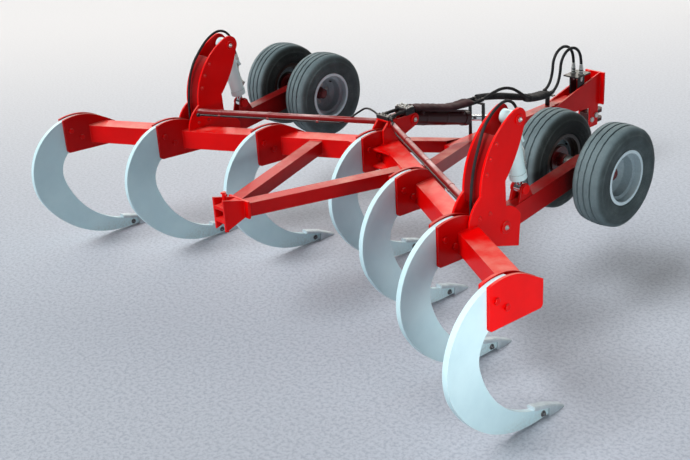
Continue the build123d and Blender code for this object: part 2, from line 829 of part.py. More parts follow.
def tongue_leg():
    """Right-hand leg: hinge boss and neck, then a square tube down to the pole."""
    half = hinge_boss_width / 2
    root = Vector(tongue_root_x, hinge_y, hinge_z)
    end = Vector(0, join_y, pole_z)
    tube = box_bar(root, end, leg_size, leg_size, leg_wall)
    start_y = hinge_y + hinge_neck_length
    tube &= block(-trim_reach, trim_reach, start_y, trim_reach, -trim_reach, trim_reach)
    neck_drop = (pole_z - hinge_z) / (join_y - hinge_y) * hinge_neck_length
    neck_shift = -tongue_root_x / (join_y - hinge_y) * hinge_neck_length
    neck = box_bar(root, root + Vector(neck_shift, hinge_neck_length + leg_wall, neck_drop),
                   hinge_neck_width, hinge_neck_height)
    cap = box_bar(root, end, leg_size - leg_wall, leg_size - leg_wall)
    cap &= block(-trim_reach, trim_reach, start_y, start_y + leg_wall, -trim_reach, trim_reach)
    boss = cross_bar(hinge_y, hinge_z, hinge_boss_radius, tongue_root_x - half, tongue_root_x + half)
    solid = tube + cap + neck + boss
    solid -= cross_bar(hinge_y, hinge_z, hinge_pin_radius + running_fit, 0, 2 * tongue_root_x)
    solid -= pole_bar(weld_gap, 0.0)
    return solid & x_range(pole_width / 2, trim_reach)


def tongue_pole():
    """Box pole with a closed rear end and two ears for the levelling cylinder."""
    solid = pole_bar(0.0, pole_wall)
    inner = pole_width / 2 - pole_wall
    solid += block(-inner, inner, pole_rear_y, pole_rear_y + pole_wall,
                   pole_z - pole_height / 2 + pole_wall, pole_top - pole_wall)
    foot = pole_top - pole_wall / 2
    rear_side = (level_lug_y - level_eye_radius, level_lug_z)
    front_side = (level_lug_y + level_eye_radius, level_lug_z)
    sides = [
        Line((level_lug_y - ear_foot, foot), rear_side),
        ThreePointArc(rear_side, (level_lug_y, level_lug_z + level_eye_radius), front_side),
        Line(front_side, (level_lug_y + ear_foot, foot)),
        Line((level_lug_y + ear_foot, foot), (level_lug_y - ear_foot, foot)),
    ]
    outline = make_face(sides) - Pos(level_lug_y, level_lug_z) * Circle(rod_radius + running_fit)
    for side in (-1, 1):
        solid += slab(outline, side * (level_eye_width / 2 + eye_play + mast_plate / 2), mast_plate)
    return solid


def hitch_head():
    """Two wedge-shaped side plates with hanging cheeks, and a front plate."""
    low = pole_z - head_rear_height / 2
    bottom = pole_z - head_bottom_under_pole
    top = pole_z + head_top_over_pole
    cheek_front_y = cheek_rear_y + cheek_width
    back_y = head_front_y - head_front_plate
    outline = make_face(Polyline(
        (head_rear_y, low), (head_rear_y, low + head_rear_height), (back_y, top), (back_y, bottom),
        (cheek_front_y, bottom), (cheek_front_y, cheek_bottom), (cheek_rear_y, cheek_bottom),
        (cheek_rear_y, bottom), close=True))
    plate_x = pole_width / 2 + weld_gap + head_plate / 2
    solid = slab(outline, plate_x, head_plate) + slab(outline, -plate_x, head_plate)
    half = head_front_width / 2
    solid += block(-half, half, back_y, head_front_y, bottom, top)
    for y, z in clevis_bolt_points():
        solid -= cross_bar(y, z, clevis_bolt_radius + running_fit, -half, half)
    return solid


def clevis_bolt_points():
    middle = cheek_rear_y + cheek_width / 2
    z = cheek_bottom + clevis_lip + clevis_height / 2
    return [(middle - cheek_width / 4, z), (middle + cheek_width / 4, z + clevis_height / 4)]


def hitch_clevis():
    """A jaw between the cheeks, with a round nose and an upright pin hole through both lips."""
    low = cheek_bottom + clevis_lip
    half = pole_width / 2
    centre_y = clevis_front_y - half
    plan = Pos(0, (cheek_rear_y + centre_y) / 2) * Rectangle(2 * half, centre_y - cheek_rear_y)
    plan += Pos(0, centre_y) * Circle(half)
    solid = extrude(Plane.XY.offset(low) * plan, amount=clevis_height)
    gap_low = low + (clevis_height - jaw_gap) / 2
    solid -= block(-2 * half, 2 * half, clevis_front_y - jaw_depth, 2 * clevis_front_y,
                   gap_low, gap_low + jaw_gap)
    pin_y = clevis_front_y - jaw_pin_setback
    solid -= round_bar((0, pin_y, 0), (0, pin_y, 2 * (low + clevis_height)), jaw_pin_radius)
    for y, z in clevis_bolt_points():
        solid -= cross_bar(y, z, clevis_bolt_radius + running_fit, -2 * half, 2 * half)
    return solid


def tongue_pins():
    """Clevis bolts, and the two ends of the levelling rod's pin in the pole's ears."""
    cheek = pole_width / 2 + weld_gap + head_plate
    pins = [pin_with_heads(y, z, clevis_bolt_radius, -cheek, cheek) for y, z in clevis_bolt_points()]
    inner = level_eye_width / 2 + eye_play
    outer = inner + mast_plate
    for low, high in ((inner, outer), (-outer, -inner)):
        face = high if high > 0 else low - pin_head
        end = cross_bar(level_lug_y, level_lug_z, rod_radius, low, high)
        head = cross_bar(level_lug_y, level_lug_z, rod_radius + pin_head_margin, face, face + pin_head)
        pins.append(end + head)
    return pins


def mast():
    """Two plates over the nose, leaning forward to the levelling cylinder's pin."""
    seat = beam_top + weld_gap
    plate_x = (mast_gap + mast_plate) / 2
    front_foot = beam_line(plate_x) + beam_reach
    top = (mast_rear_y + mast_eye_radius, mast_top)
    pin = (mast_pin_y, mast_pin_z)
    edges = [
        Line((front_foot, seat), (mast_rear_y, seat)),
        Line((mast_rear_y, seat), (mast_rear_y, top[1] - mast_eye_radius)),
        Line((mast_rear_y, top[1] - mast_eye_radius), top),
        Line(top, polar(pin, mast_eye_radius, upward)),
        ThreePointArc(polar(pin, mast_eye_radius, upward), polar(pin, mast_eye_radius, 0),
                      polar(pin, mast_eye_radius, mast_eye_angle)),
        Line(polar(pin, mast_eye_radius, mast_eye_angle), (front_foot, seat)),
    ]
    outline = make_face(edges) - Pos(*pin) * Circle(mast_pin_radius + running_fit)
    half = mast_gap / 2 + mast_plate
    cap = block(-half, half, top[0], top[0] + mast_cap_length, top[1], top[1] + mast_cap)
    return slab(outline, plate_x, mast_plate) + slab(outline, -plate_x, mast_plate) + cap


def level_axis():
    """Pin-to-pin plane of the levelling cylinder: its Z runs from the mast to the pole."""
    top = Vector(0, mast_pin_y, mast_pin_z)
    return Plane(origin=top, x_dir=(1, 0, 0), z_dir=Vector(0, level_lug_y, level_lug_z) - top)


def level_barrel():
    solid = cylinder_barrel(level_barrel_radius, level_bore, level_cap, level_barrel_length, level_gland,
                            level_gland_radius, level_rod_radius, mast_eye_radius,
                            mast_gap - 2 * eye_play, mast_pin_radius)
    return level_axis() * solid


def level_rod():
    span = math.dist((mast_pin_y, mast_pin_z), (level_lug_y, level_lug_z))
    solid = stack(level_rod_radius, level_piston_at, span)
    solid += stack(level_bore - running_fit, level_piston_at, level_piston_at + piston_length)
    return level_axis() * (solid + eye(level_eye_radius, level_eye_width, span))


def tower_stay():
    """Right-hand tube from the mast's plate to the tower's inner plate, in line with the beam."""
    low = mast_gap / 2 + mast_plate + weld_gap
    high = lift_x - tower_half - weld_gap
    z = beam_z + stay_over_beam
    line_y = stay_y - beam_y
    bar = round_bar((0, beam_line(0) + line_y, z), (lift_x, beam_line(lift_x) + line_y, z), stay_radius)
    return bar & x_range(low, high)


def rear_leg():
    """Right-hand leg of the tow frame, cut to the beam and to the head's plate."""
    tube = box_bar((rear_leg_x, beam_line(rear_leg_x), rear_leg_z), (0, rear_apex_y, rear_leg_z),
                   leg_size, leg_size, leg_wall)
    tube &= block(weld_gap / 2, trim_reach, rear_head_y + weld_gap, trim_reach, -trim_reach, trim_reach)
    return tube - beam_room()


def rear_jaw_levels():
    return (rear_leg_z - rear_jaw_gap / 2 - rear_jaw_plate, rear_leg_z + rear_jaw_gap / 2)


def rear_pin_y():
    return rear_head_y - rear_cheek_length + rear_pin_setback


def rear_hitch_head():
    """End plate of the tow frame with two cheeks and a pair of jaw plates."""
    half = rear_head_width / 2
    solid = block(-half, half, rear_head_y - rear_plate, rear_head_y,
                  rear_leg_z - rear_head_height / 2, rear_leg_z + rear_head_height / 2)
    front = rear_head_y - rear_plate
    rear = rear_head_y - rear_cheek_length
    outline = make_face(Polyline(
        (front, rear_leg_z - rear_head_height / 2), (front, rear_leg_z + rear_head_height / 2),
        (rear, rear_leg_z + rear_cheek_height / 2), (rear, rear_leg_z - rear_cheek_height / 2), close=True))
    cheek_x = (rear_cheek_gap + rear_plate) / 2
    solid += slab(outline, cheek_x, rear_plate) + slab(outline, -cheek_x, rear_plate)
    for z in rear_jaw_levels():
        solid += block(-rear_cheek_gap / 2, rear_cheek_gap / 2, rear, front, z, z + rear_jaw_plate)
    bore = round_bar((0, rear_pin_y(), 0), (0, rear_pin_y(), 2 * beam_z), rear_pin_radius + running_fit)
    return solid - bore


def rear_hitch_pin():
    """A drop pin with a collar that rests on the upper jaw plate, a tee grip and a tapered tip."""
    low, high = rear_jaw_levels()
    seat = high + rear_jaw_plate
    collar = seat + rear_pin_radius / 2
    profile = make_face(Polyline(
        (0, low - rear_pin_tip), (rear_pin_radius / 2, low - rear_pin_tip),
        (rear_pin_radius, low - rear_pin_radius),
        (rear_pin_radius, seat), (2 * rear_pin_radius, seat), (2 * rear_pin_radius, collar),
        (rear_pin_radius, collar), (rear_pin_radius, seat + rear_pin_grip), (0, seat + rear_pin_grip),
        close=True))
    pin = Pos(0, rear_pin_y(), 0) * revolve(Plane.XZ * profile, Axis.Z, 360)
    grip_z = seat + rear_pin_grip - rear_pin_radius
    half = rear_cheek_gap / 2 - rear_pin_radius
    return pin + cross_bar(rear_pin_y(), grip_z, rear_pin_radius / 2, -half, half)


def frame_pins():
    """Pins of the towers, the tongue's hinges and the mast."""
    low = lift_x - tower_half
    high = lift_x + tower_half
    right = [pin_with_heads(pivot_y, pivot_z, pivot_pin_radius, low, high),
             pin_with_heads(tower_pin_y, tower_pin_z, tower_pin_radius, low, high)]
    reach = hinge_boss_width / 2 + bracket_play + bracket_plate
    right.append(pin_with_heads(hinge_y, hinge_z, hinge_pin_radius,
                                tongue_root_x - reach, tongue_root_x + reach))
    mast_half = mast_gap / 2 + mast_plate
    middle = pin_with_heads(mast_pin_y, mast_pin_z, mast_pin_radius, -mast_half, mast_half)
    return right + [mirrored(pin) for pin in right] + [middle]


def rack_low():
    return pole_z + rack_over_pole


def hose_rack():
    """Hoop over the levelling cylinder, post on the pole and coupler rack on the hitch head."""
    top = pole_top + hoop_top_over_pole
    outer = hoop_half_width + hoop_strap
    hoop = block(-outer, outer, hoop_y, hoop_y + hoop_length, top - hoop_strap, top)
    for side in (-1, 1):
        inner_x, outer_x = sorted((side * hoop_half_width, side * outer))
        foot_low, foot_high = sorted((side * (pole_width / 2 + weld_gap), side * outer))
        hoop += block(inner_x, outer_x, hoop_y, hoop_y + hoop_length, pole_z, top)
        hoop += block(foot_low, foot_high, hoop_y, hoop_y + hoop_length,
                      pole_z - hoop_length / 2, pole_z + hoop_length / 2)
    half = post_width / 2
    saddle = hose_spread + hose_radius + hoop_strap
    top = pole_top + post_height
    post = block(-half, half, post_y, post_y + hoop_strap, pole_top + weld_gap, top)
    post += block(-saddle, saddle, post_y, post_y + hoop_length, top - hoop_strap, top)
    rack = block(-rack_width / 2, rack_width / 2, rack_rear_y, rack_rear_y + rack_length,
                 rack_low(), rack_low() + rack_plate)
    outer = pole_width / 2
    rear = coupler_y() - rack_post_length / 2
    for low, high in ((outer - head_plate, outer), (-outer, head_plate - outer)):
        rack += block(low, high, rear, rear + rack_post_length, pole_top, rack_low())
    base = rack_low() + rack_plate
    couplers = [round_bar((x, coupler_y(), base), (x, coupler_y(), base + coupler_length), coupler_radius)
                for x in (-hose_spread, hose_spread)]
    return [hoop, post, rack] + couplers


def coupler_y():
    return rack_rear_y + rack_length / 2


def bend_radii(points):
    """For each inner corner, the radius that uses the same share of the shorter run beside it."""
    radii = []
    for before, at, after in zip(points, points[1:], points[2:]):
        run_in = Vector(at) - Vector(before)
        run_out = Vector(after) - Vector(at)
        half_turn = math.radians(run_in.get_angle(run_out)) / 2
        radii.append(bend_share * min(run_in.length, run_out.length) / math.tan(half_turn))
    return radii


def hose(name, points, radius):
    """A round hose along straight runs joined by tangent arcs."""
    radii = bend_radii(points)
    path = FilletPolyline(*points, radius=radii)
    solid = sweep(Plane(origin=path @ 0, z_dir=path % 0) * Circle(radius), path=path)
    share = solid.volume / (math.pi * radius ** 2 * path.length)
    print(name, "length", round(path.length), "radii", [round(bend) for bend in radii],
          "volume share", round(share, 3))
    return solid


def route(x, y, z, steps):
    return [(x, y + dy, z + dz) for dy, dz in steps]


def tongue_hose(x, hoop_steps):
    """From the mast's cap, over the hoop and the post, up in a loop and down into the coupler rack."""
    rest = hose_radius + weld_gap
    points = route(x, mast_rear_y + mast_eye_radius, mast_top + mast_cap + rest, mast_run)
    points += route(x, hoop_y, pole_top + hoop_top_over_pole + rest, hoop_steps)
    points += route(x, post_y, pole_top + post_height + rest, post_run)
    points += route(x, coupler_y(), rack_low() + rack_plate + coupler_length + weld_gap, rack_run)
    return hose("tongue hose", points, hose_radius)


def lift_hose():
    """From the elbow on the barrel, over the tower's tip and down behind it, between the holder's plates."""
    axis = lift_axis().z_dir
    mouth = port_mouth() - axis * weld_gap
    first = mouth - axis * lift_hose_rise
    holder_x = lift_hose_holder * shank_spacing
    points = [tuple(mouth), tuple(first)] + route(lift_x, tower_pin_y, tower_pin_z, tip_run)
    points += route(holder_x, tower_pin_y, tower_pin_z, back_run)
    points.append((holder_x, points[-1][1], beam_top + weld_gap))
    return hose("lift hose", points, lift_hose_radius)


def save(name, shape):
    """Write one node, with the middle of the machine's length at y = 0."""
    solids = shape if isinstance(shape, list) else [shape]
    loose = [Pos(0, -middle_y, 0) * solid for piece in solids for solid in piece.solids()]
    whole = loose[0] if len(loose) == 1 else Compound(loose)
    export_step(whole, "parts/" + name + ".step")


def save_mirrored(name, shape):
    save(name + "_right", shape)
    save(name + "_left", mirrored(shape))


def save_moved(name, solids):
    """A piece that is alike on its inner and outer side, so the left one is the right one moved across."""
    save(name + "_right", solids)
    save(name + "_left", [Pos(-2 * lift_x, 0, 0) * solid for solid in solids])


def both_sides(shapes):
    return shapes + [mirrored(shape) for shape in shapes]


os.makedirs("parts", exist_ok=True)
save_mirrored("main_beam", main_beam())
save("apex_gussets", apex_gussets())
indices = range(-outer_index, outer_index + 1)
for number, index in enumerate(indices, start=1):
    save(f"shank_holder_{number}", shank_holder(index))
    save(f"shank_{number}", shank(index))
save("ripper_points", [ripper_point(index) for index in indices])
save("shank_bolts", [shank_place(index) * shank_bolt(y, z) for index in indices for y, z in bolt_points()])
save_mirrored("lift_tower", lift_tower())
save("frame_pins", frame_pins())
save("mast", mast())
save("tongue_brackets", both_sides(hinge_bracket()))
save("tower_stays", both_sides([tower_stay()]))
save("rear_hitch_legs", both_sides([rear_leg()]))
save("rear_hitch_head", rear_hitch_head())
save("rear_hitch_pin", rear_hitch_pin())
save_moved("wheel_arm", [wheel_arm()])
save_moved("wheel_axle", [wheel_axle()])
save_moved("arm_pins", arm_pins())
save_moved("lift_barrel", [lift_barrel()])
save_moved("lift_rod", [lift_rod()])
save("lift_hoses", both_sides([lift_hose()]))
for number, (x, facing) in enumerate(wheel_places(), start=1):
    save(f"tyre_{number}", wheel_piece(tyre_profile(), x, facing))
    save(f"wheel_rim_{number}", wheel_piece(rim_profile(), x, facing))
    save(f"wheel_hub_{number}", wheel_piece(hub_profile(), x, facing))
save("tongue_legs", both_sides([tongue_leg()]))
save("tongue_pole", tongue_pole())
save("hitch_head", hitch_head())
save("hitch_clevis", hitch_clevis())
save("tongue_pins", tongue_pins())
save("level_barrel", level_barrel())
save("level_rod", level_rod())
save("hose_rack", hose_rack())
save("tongue_hoses", [tongue_hose(-hose_spread, hoop_run), tongue_hose(hose_spread, slack_hoop_run)])
print("beam_z", round(beam_z, 2), "crown_z", round(crown_z, 2), "middle_y", round(middle_y, 2))
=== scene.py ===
import bmesh
import bpy
import json
import math
import random
from mathutils import Matrix, Vector


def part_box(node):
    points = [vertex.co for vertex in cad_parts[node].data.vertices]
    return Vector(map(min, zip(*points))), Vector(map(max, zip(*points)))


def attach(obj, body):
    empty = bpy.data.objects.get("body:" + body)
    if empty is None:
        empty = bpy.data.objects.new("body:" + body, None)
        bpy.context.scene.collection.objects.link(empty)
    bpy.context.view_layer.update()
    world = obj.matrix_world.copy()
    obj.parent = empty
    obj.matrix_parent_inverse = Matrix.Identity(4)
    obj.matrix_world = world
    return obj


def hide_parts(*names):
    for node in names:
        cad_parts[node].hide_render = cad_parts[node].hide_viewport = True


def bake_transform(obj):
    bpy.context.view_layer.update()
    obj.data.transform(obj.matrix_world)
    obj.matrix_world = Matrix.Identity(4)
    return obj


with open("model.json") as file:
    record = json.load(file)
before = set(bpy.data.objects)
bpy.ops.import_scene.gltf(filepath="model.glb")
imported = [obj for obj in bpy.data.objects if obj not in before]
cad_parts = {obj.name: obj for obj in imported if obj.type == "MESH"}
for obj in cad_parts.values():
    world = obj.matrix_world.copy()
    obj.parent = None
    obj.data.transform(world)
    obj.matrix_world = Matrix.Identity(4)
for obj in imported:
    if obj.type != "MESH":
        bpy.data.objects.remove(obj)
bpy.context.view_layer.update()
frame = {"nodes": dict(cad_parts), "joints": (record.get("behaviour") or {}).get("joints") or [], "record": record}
nodes = frame["nodes"]
joints = {row["name"]: row for row in frame["joints"]}
sides = {"left": -1.0, "right": 1.0}


def corners(name):
    low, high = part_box(name)
    return Vector(low), Vector(high)


def middle(name):
    low, high = corners(name)
    return (low + high) / 2


def addObject(name, data):
    made = bpy.data.objects.new(name, data)
    bpy.context.scene.collection.objects.link(made)
    return made


def tone(red, green, blue):
    # screen values 0-255 to the linear colour that a shader takes
    steps = [value / 255 for value in (red, green, blue)]
    return tuple(s / 12.92 if s <= 0.04045 else ((s + 0.055) / 1.055) ** 2.4 for s in steps)


# camera: behind the right-hand corner, well above the tower tops
cameraSet = {"at": (5.9598, -6.2825, 4.0905), "aim": (0.1813, -1.1120, 0.525), "roll": -3.596,
             "lens": 59.3, "sensor": 36.0, "shift": (-0.0035, 0.0036), "farthest": 300.0}


def makeCamera(look):
    at = Vector(look["at"])
    ahead = (Vector(look["aim"]) - at).normalized()
    level = ahead.cross(Vector((0, 0, 1))).normalized()
    right = Matrix.Rotation(math.radians(look["roll"]), 3, -ahead) @ level
    up = right.cross(ahead)
    data = bpy.data.cameras.new("viewCamera")
    data.sensor_width = look["sensor"]
    data.lens = look["lens"]
    data.shift_x, data.shift_y = look["shift"]
    data.clip_end = look["farthest"]
    camera = addObject("viewCamera", data)
    camera.matrix_world = Matrix((right, up, -ahead)).transposed().to_4x4()
    camera.location = at
    bpy.context.scene.camera = camera


makeCamera(cameraSet)
print("camera set")


class Wire:
    # one output socket: arithmetic on it adds Math nodes to its tree
    def __init__(self, tree, socket):
        self.tree = tree
        self.socket = socket

    def math(self, operation, first, second):
        made = self.tree.nodes.new("ShaderNodeMath")
        made.operation = operation
        plug(self.tree, made.inputs[0], first)
        plug(self.tree, made.inputs[1], second)
        return Wire(self.tree, made.outputs[0])

    def __add__(self, other):
        return self.math("ADD", self, other)

    def __radd__(self, other):
        return self.math("ADD", other, self)

    def __sub__(self, other):
        return self.math("SUBTRACT", self, other)

    def __rsub__(self, other):
        return self.math("SUBTRACT", other, self)

    def __mul__(self, other):
        return self.math("MULTIPLY", self, other)

    def __rmul__(self, other):
        return self.math("MULTIPLY", other, self)

    def above(self, low, high):
        # 0 up to low, 1 from high on
        made = self.tree.nodes.new("ShaderNodeMapRange")
        made.interpolation_type = "SMOOTHSTEP"
        plug(self.tree, made.inputs["Value"], self)
        made.inputs["From Min"].default_value = low
        made.inputs["From Max"].default_value = high
        return Wire(self.tree, made.outputs["Result"])


def plug(tree, socket, value):
    if isinstance(value, Wire):
        tree.links.new(value.socket, socket)
    elif isinstance(value, tuple) and len(value) == 3 and socket.type == "RGBA":
        socket.default_value = (*value, 1.0)
    else:
        socket.default_value = value


class Nodes:
    # any node tree, with one method for every kind of node
    def __init__(self, tree):
        self.tree = tree

    def node(self, kind, settings, sockets, out=0):
        made = self.tree.nodes.new("ShaderNode" + kind)
        for key, value in settings.items():
            setattr(made, key, value)
        for key, value in sockets.items():
            plug(self.tree, made.inputs[key], value)
        return Wire(self.tree, made.outputs[out])

    def mix(self, mask, first, second):
        return self.node("Mix", {"data_type": "RGBA"}, {0: mask, 6: first, 7: second}, 2)

    def axis(self, vector, letter):
        return self.node("SeparateXYZ", {}, {0: vector}, letter)

    def dot(self, first, second):
        return self.node("VectorMath", {"operation": "DOT_PRODUCT"}, {0: first, 1: second}, "Value")


bevelSamples = 6
shaderSockets = {"colour": "Base Color", "rough": "Roughness", "metal": "Metallic", "coat": "Coat Weight",
                 "normal": "Normal"}


class Finish(Nodes):
    # a material with one Principled shader
    def __init__(self, name, fixed):
        self.material = bpy.data.materials.new(name)
        self.material.use_nodes = True
        super().__init__(self.material.node_tree)
        self.shader = self.tree.nodes["Principled BSDF"]
        for socket, value in fixed.items():
            plug(self.tree, self.shader.inputs[socket], value)
        self.place = self.node("TexCoord", {}, {}, "Object")

    def noise(self, scale, detail, rough):
        sockets = {"Vector": self.place, "Scale": scale, "Detail": detail, "Roughness": rough}
        return self.node("TexNoise", {}, sockets)

    def radius(self, axle):
        # distance from a line along X
        flat = self.node("VectorMath", {"operation": "SUBTRACT"}, {0: self.place, 1: (0.0, axle[1], axle[2])})
        flat = self.node("VectorMath", {"operation": "MULTIPLY"}, {0: flat, 1: (0.0, 1.0, 1.0)})
        return self.node("VectorMath", {"operation": "LENGTH"}, {0: flat}, "Value")

    def between(self, strip):
        # 1 close to an upright plane on either side of the frame, 0 further off
        side = self.node("Math", {"operation": "ABSOLUTE"}, {0: self.axis(self.place, "X")})
        off = self.node("Math", {"operation": "ABSOLUTE"}, {0: side - strip["x"]})
        return 1 - off.above(strip["half"] - strip["soft"], strip["half"])

    def edges(self, radius):
        # the rounded normal, and a mask: 0 on flats, rising where the surface turns a corner
        soft = self.node("Bevel", {"samples": bevelSamples}, {"Radius": radius})
        return soft, 1 - self.dot(soft, self.node("NewGeometry", {}, {}, "Normal"))

    def bump(self, strength, depth, height, under, invert=False):
        sockets = {"Strength": strength, "Distance": depth, "Height": height}
        if under:
            sockets["Normal"] = under
        return self.node("Bump", {"invert": invert}, sockets)

    def feed(self, **wires):
        for key, wire in wires.items():
            plug(self.tree, self.shader.inputs[shaderSockets[key]], wire)
        return self.material


axleAt = joints["wheel_1_spin"]["pos_m"]
armX = joints["right_wheel_lift"]["pos_m"][0]
endShankX = middle("shank_holder_7").x
# pale peach for the red paints' top faces: dust, and a painted sheen of the sky on them
redDustAndSheen = tone(240, 188, 170)

# what the paints share: a noise is (scale, detail, roughness), a band is where a mask goes from 0 to 1
paintShared = {
    "rounding": 0.004, "ior": 1.5, "rough": 0.32, "metal": 0.0, "coat": 0.14, "coatRough": 0.08,
    "gleam": 0.15, "broad": (2.6, 5.0, 0.6), "fine": (55.0, 6.0, 0.7), "grit": (210.0, 3.0, 0.6),
    "driftBand": (0.3, 0.72),
    "dust": 0.25, "dustTone": tone(205, 192, 182), "dustFacing": (0.55, 0.95), "dustBand": (0.38, 0.75),
    "chip": 0.85, "chipBand": (1.55, 1.75), "chipEdge": 5.0, "chipFine": 0.9, "chipBroad": 0.5,
    "under": tone(112, 108, 104), "underMetal": 0.6,
    "soil": 0.0, "soilTone": tone(140, 124, 106), "soilFrom": 0.02, "soilTop": 0.5, "soilBand": (0.35, 0.7),
    "soilWaver": 0.25, "noiseMiddle": 0.5, "well": None, "wellLeast": 0.6, "wellFine": 0.5, "strip": None,
    "peel": 0.06, "peelDeep": 0.002, "peelGrit": 0.6, "peelFine": 0.4, "chipBump": 0.35, "chipDeep": 0.0008,
    "fineRough": 0.1, "dustRough": 0.3, "soilRough": 0.35, "chipRough": 0.1}

# a well is another tone near the wheels' axle, a strip one near an upright plane on both sides; both are painted
# shade (the rims' inside, the arms between the wheels, the towers' channels, the wheels' inner sides), except on
# the shank bolts, where the strip is the lighter, unshaded red by the seventh holder
paints = {
    "redPaint": dict(base=tone(226, 3, 4), drifted=tone(210, 3, 4), dust=0.45, dustTone=redDustAndSheen,
                     coat=0.08, gleam=0.1),
    # a darker copy of the red for holders one to six: painted shade, with dust and painted sheen on top
    "holderPaint": dict(base=tone(198, 3, 5), drifted=tone(174, 4, 6), dust=0.35, dustTone=redDustAndSheen,
                        coat=0.06, gleam=0.08),
    # the shank bolts in the holders' painted-shade red, lighter by the seventh holder where the red is not shaded
    "shankBoltPaint": dict(base=tone(198, 3, 5), drifted=tone(174, 4, 6), coat=0.06, gleam=0.08,
                           strip={"x": endShankX, "half": 0.12, "soft": 0.01, "tone": tone(206, 3, 4)}),
    # a darker red for the rear hitch legs and the tongue legs: painted shade, with dust and painted sheen on top
    "legPaint": dict(base=tone(182, 5, 7), drifted=tone(154, 6, 8), dust=0.5, dustTone=redDustAndSheen,
                     coat=0.08, gleam=0.1),
    # a brighter red for the towers as painted light, with painted shade in the channel between each tower's plates
    "towerPaint": dict(base=tone(234, 3, 4), drifted=tone(218, 3, 4), dust=0.3, dustTone=redDustAndSheen,
                       coat=0.06, gleam=0.08,
                       strip={"x": armX, "half": 0.066, "soft": 0.006, "tone": tone(134, 6, 8)}),
    # a darker red for the wheel arms as painted shade, darkest near the axle between the wheels
    "armPaint": dict(base=tone(200, 4, 6), drifted=tone(166, 6, 8), dust=0.12, dustTone=tone(196, 150, 140),
                     coat=0.05, gleam=0.1, well={"from": (0.25, 0.85), "tone": tone(74, 11, 12)}),
    # the stays and their clips: a dark red base as painted shade, under a strong pale top that is a painted sheen
    "stayPaint": dict(base=tone(134, 12, 15), drifted=tone(112, 11, 14), dust=0.9,
                      dustTone=tone(228, 196, 194)),
    # the shanks' near-white chips along the edges are painted edge highlights
    "shankPaint": dict(base=tone(202, 231, 237), drifted=tone(190, 221, 229), rough=0.34, coat=0.2,
                       soil=0.3, soilTop=0.16, dust=0.4, dustTone=tone(238, 242, 242), chip=0.9,
                       chipBand=(1.2, 1.5), under=tone(244, 250, 250), underMetal=0.0),
    # the rims' darker inside and the dark brown inner sides between the dual wheels are painted shade
    "rimPaint": dict(base=tone(220, 240, 246), drifted=tone(206, 228, 235), rough=0.3, coat=0.3,
                     well={"from": (0.168, 0.181), "tone": tone(140, 158, 165)},
                     strip={"x": armX, "half": 0.216, "soft": 0.004, "tone": tone(62, 50, 44)}),
    "hubPaint": dict(base=tone(118, 22, 24), drifted=tone(96, 18, 20), rough=0.3, coat=0.5),
    "cylinderPaint": dict(base=tone(212, 240, 242), drifted=tone(198, 227, 230), rough=0.24, coat=0.5),
    "levelPaint": dict(base=tone(64, 8, 12), drifted=tone(48, 7, 10), rough=0.3, coat=0.3),
    "rackPaint": dict(base=tone(28, 28, 30), drifted=tone(38, 38, 40), rough=0.4, coat=0.2),
}


def makePaint(name, own):
    # enamel over steel: drift of tone, dust on top faces, chips along edges, soil low down; on the red paints and
    # the stays the pale top faces are also a painted sheen, and the shanks' pale chips are painted edge highlights
    look = {**paintShared, **own}
    paint = Finish(name, {"Coat Roughness": look["coatRough"], "IOR": look["ior"],
                          "Specular IOR Level": look["gleam"]})
    soft, edge = paint.edges(look["rounding"])
    broad = paint.noise(*look["broad"])
    fine = paint.noise(*look["fine"])
    grit = paint.noise(*look["grit"])
    upward = paint.axis(paint.node("NewGeometry", {}, {}, "Normal"), "Z")
    # on top faces this mix is dust, and on the red paints and the stays also a painted sheen
    dust = upward.above(*look["dustFacing"]) * broad.above(*look["dustBand"]) * look["dust"]
    worn = edge * look["chipEdge"] + fine * look["chipFine"] + broad * look["chipBroad"]
    chip = worn.above(*look["chipBand"]) * look["chip"]
    height = paint.axis(paint.place, "Z") + (broad - look["noiseMiddle"]) * look["soilWaver"]
    soil = 1 - height.above(look["soilFrom"], look["soilTop"])
    soil = soil * fine.above(*look["soilBand"]) * look["soil"]
    colour = paint.mix(broad.above(*look["driftBand"]), look["base"], look["drifted"])
    if look["well"]:
        inside = 1 - paint.radius(axleAt).above(*look["well"]["from"])
        inside = inside * (look["wellLeast"] + fine * look["wellFine"])
        colour = paint.mix(inside, colour, look["well"]["tone"])
    if look["strip"]:
        colour = paint.mix(paint.between(look["strip"]), colour, look["strip"]["tone"])
    colour = paint.mix(dust, colour, look["dustTone"])
    colour = paint.mix(soil, colour, look["soilTone"])
    colour = paint.mix(chip, colour, look["under"])
    peel = grit * look["peelGrit"] + fine * look["peelFine"]
    bump = paint.bump(look["peel"], look["peelDeep"], peel, soft)
    bump = paint.bump(look["chipBump"], look["chipDeep"], chip, bump, True)
    rough = look["rough"] + fine * look["fineRough"] + dust * look["dustRough"]
    rough = rough + soil * look["soilRough"] + chip * look["chipRough"]
    return paint.feed(colour=colour, rough=rough, metal=chip * look["underMetal"] + look["metal"],
                      coat=(1 - dust) * (1 - soil) * (1 - chip) * look["coat"], normal=bump)


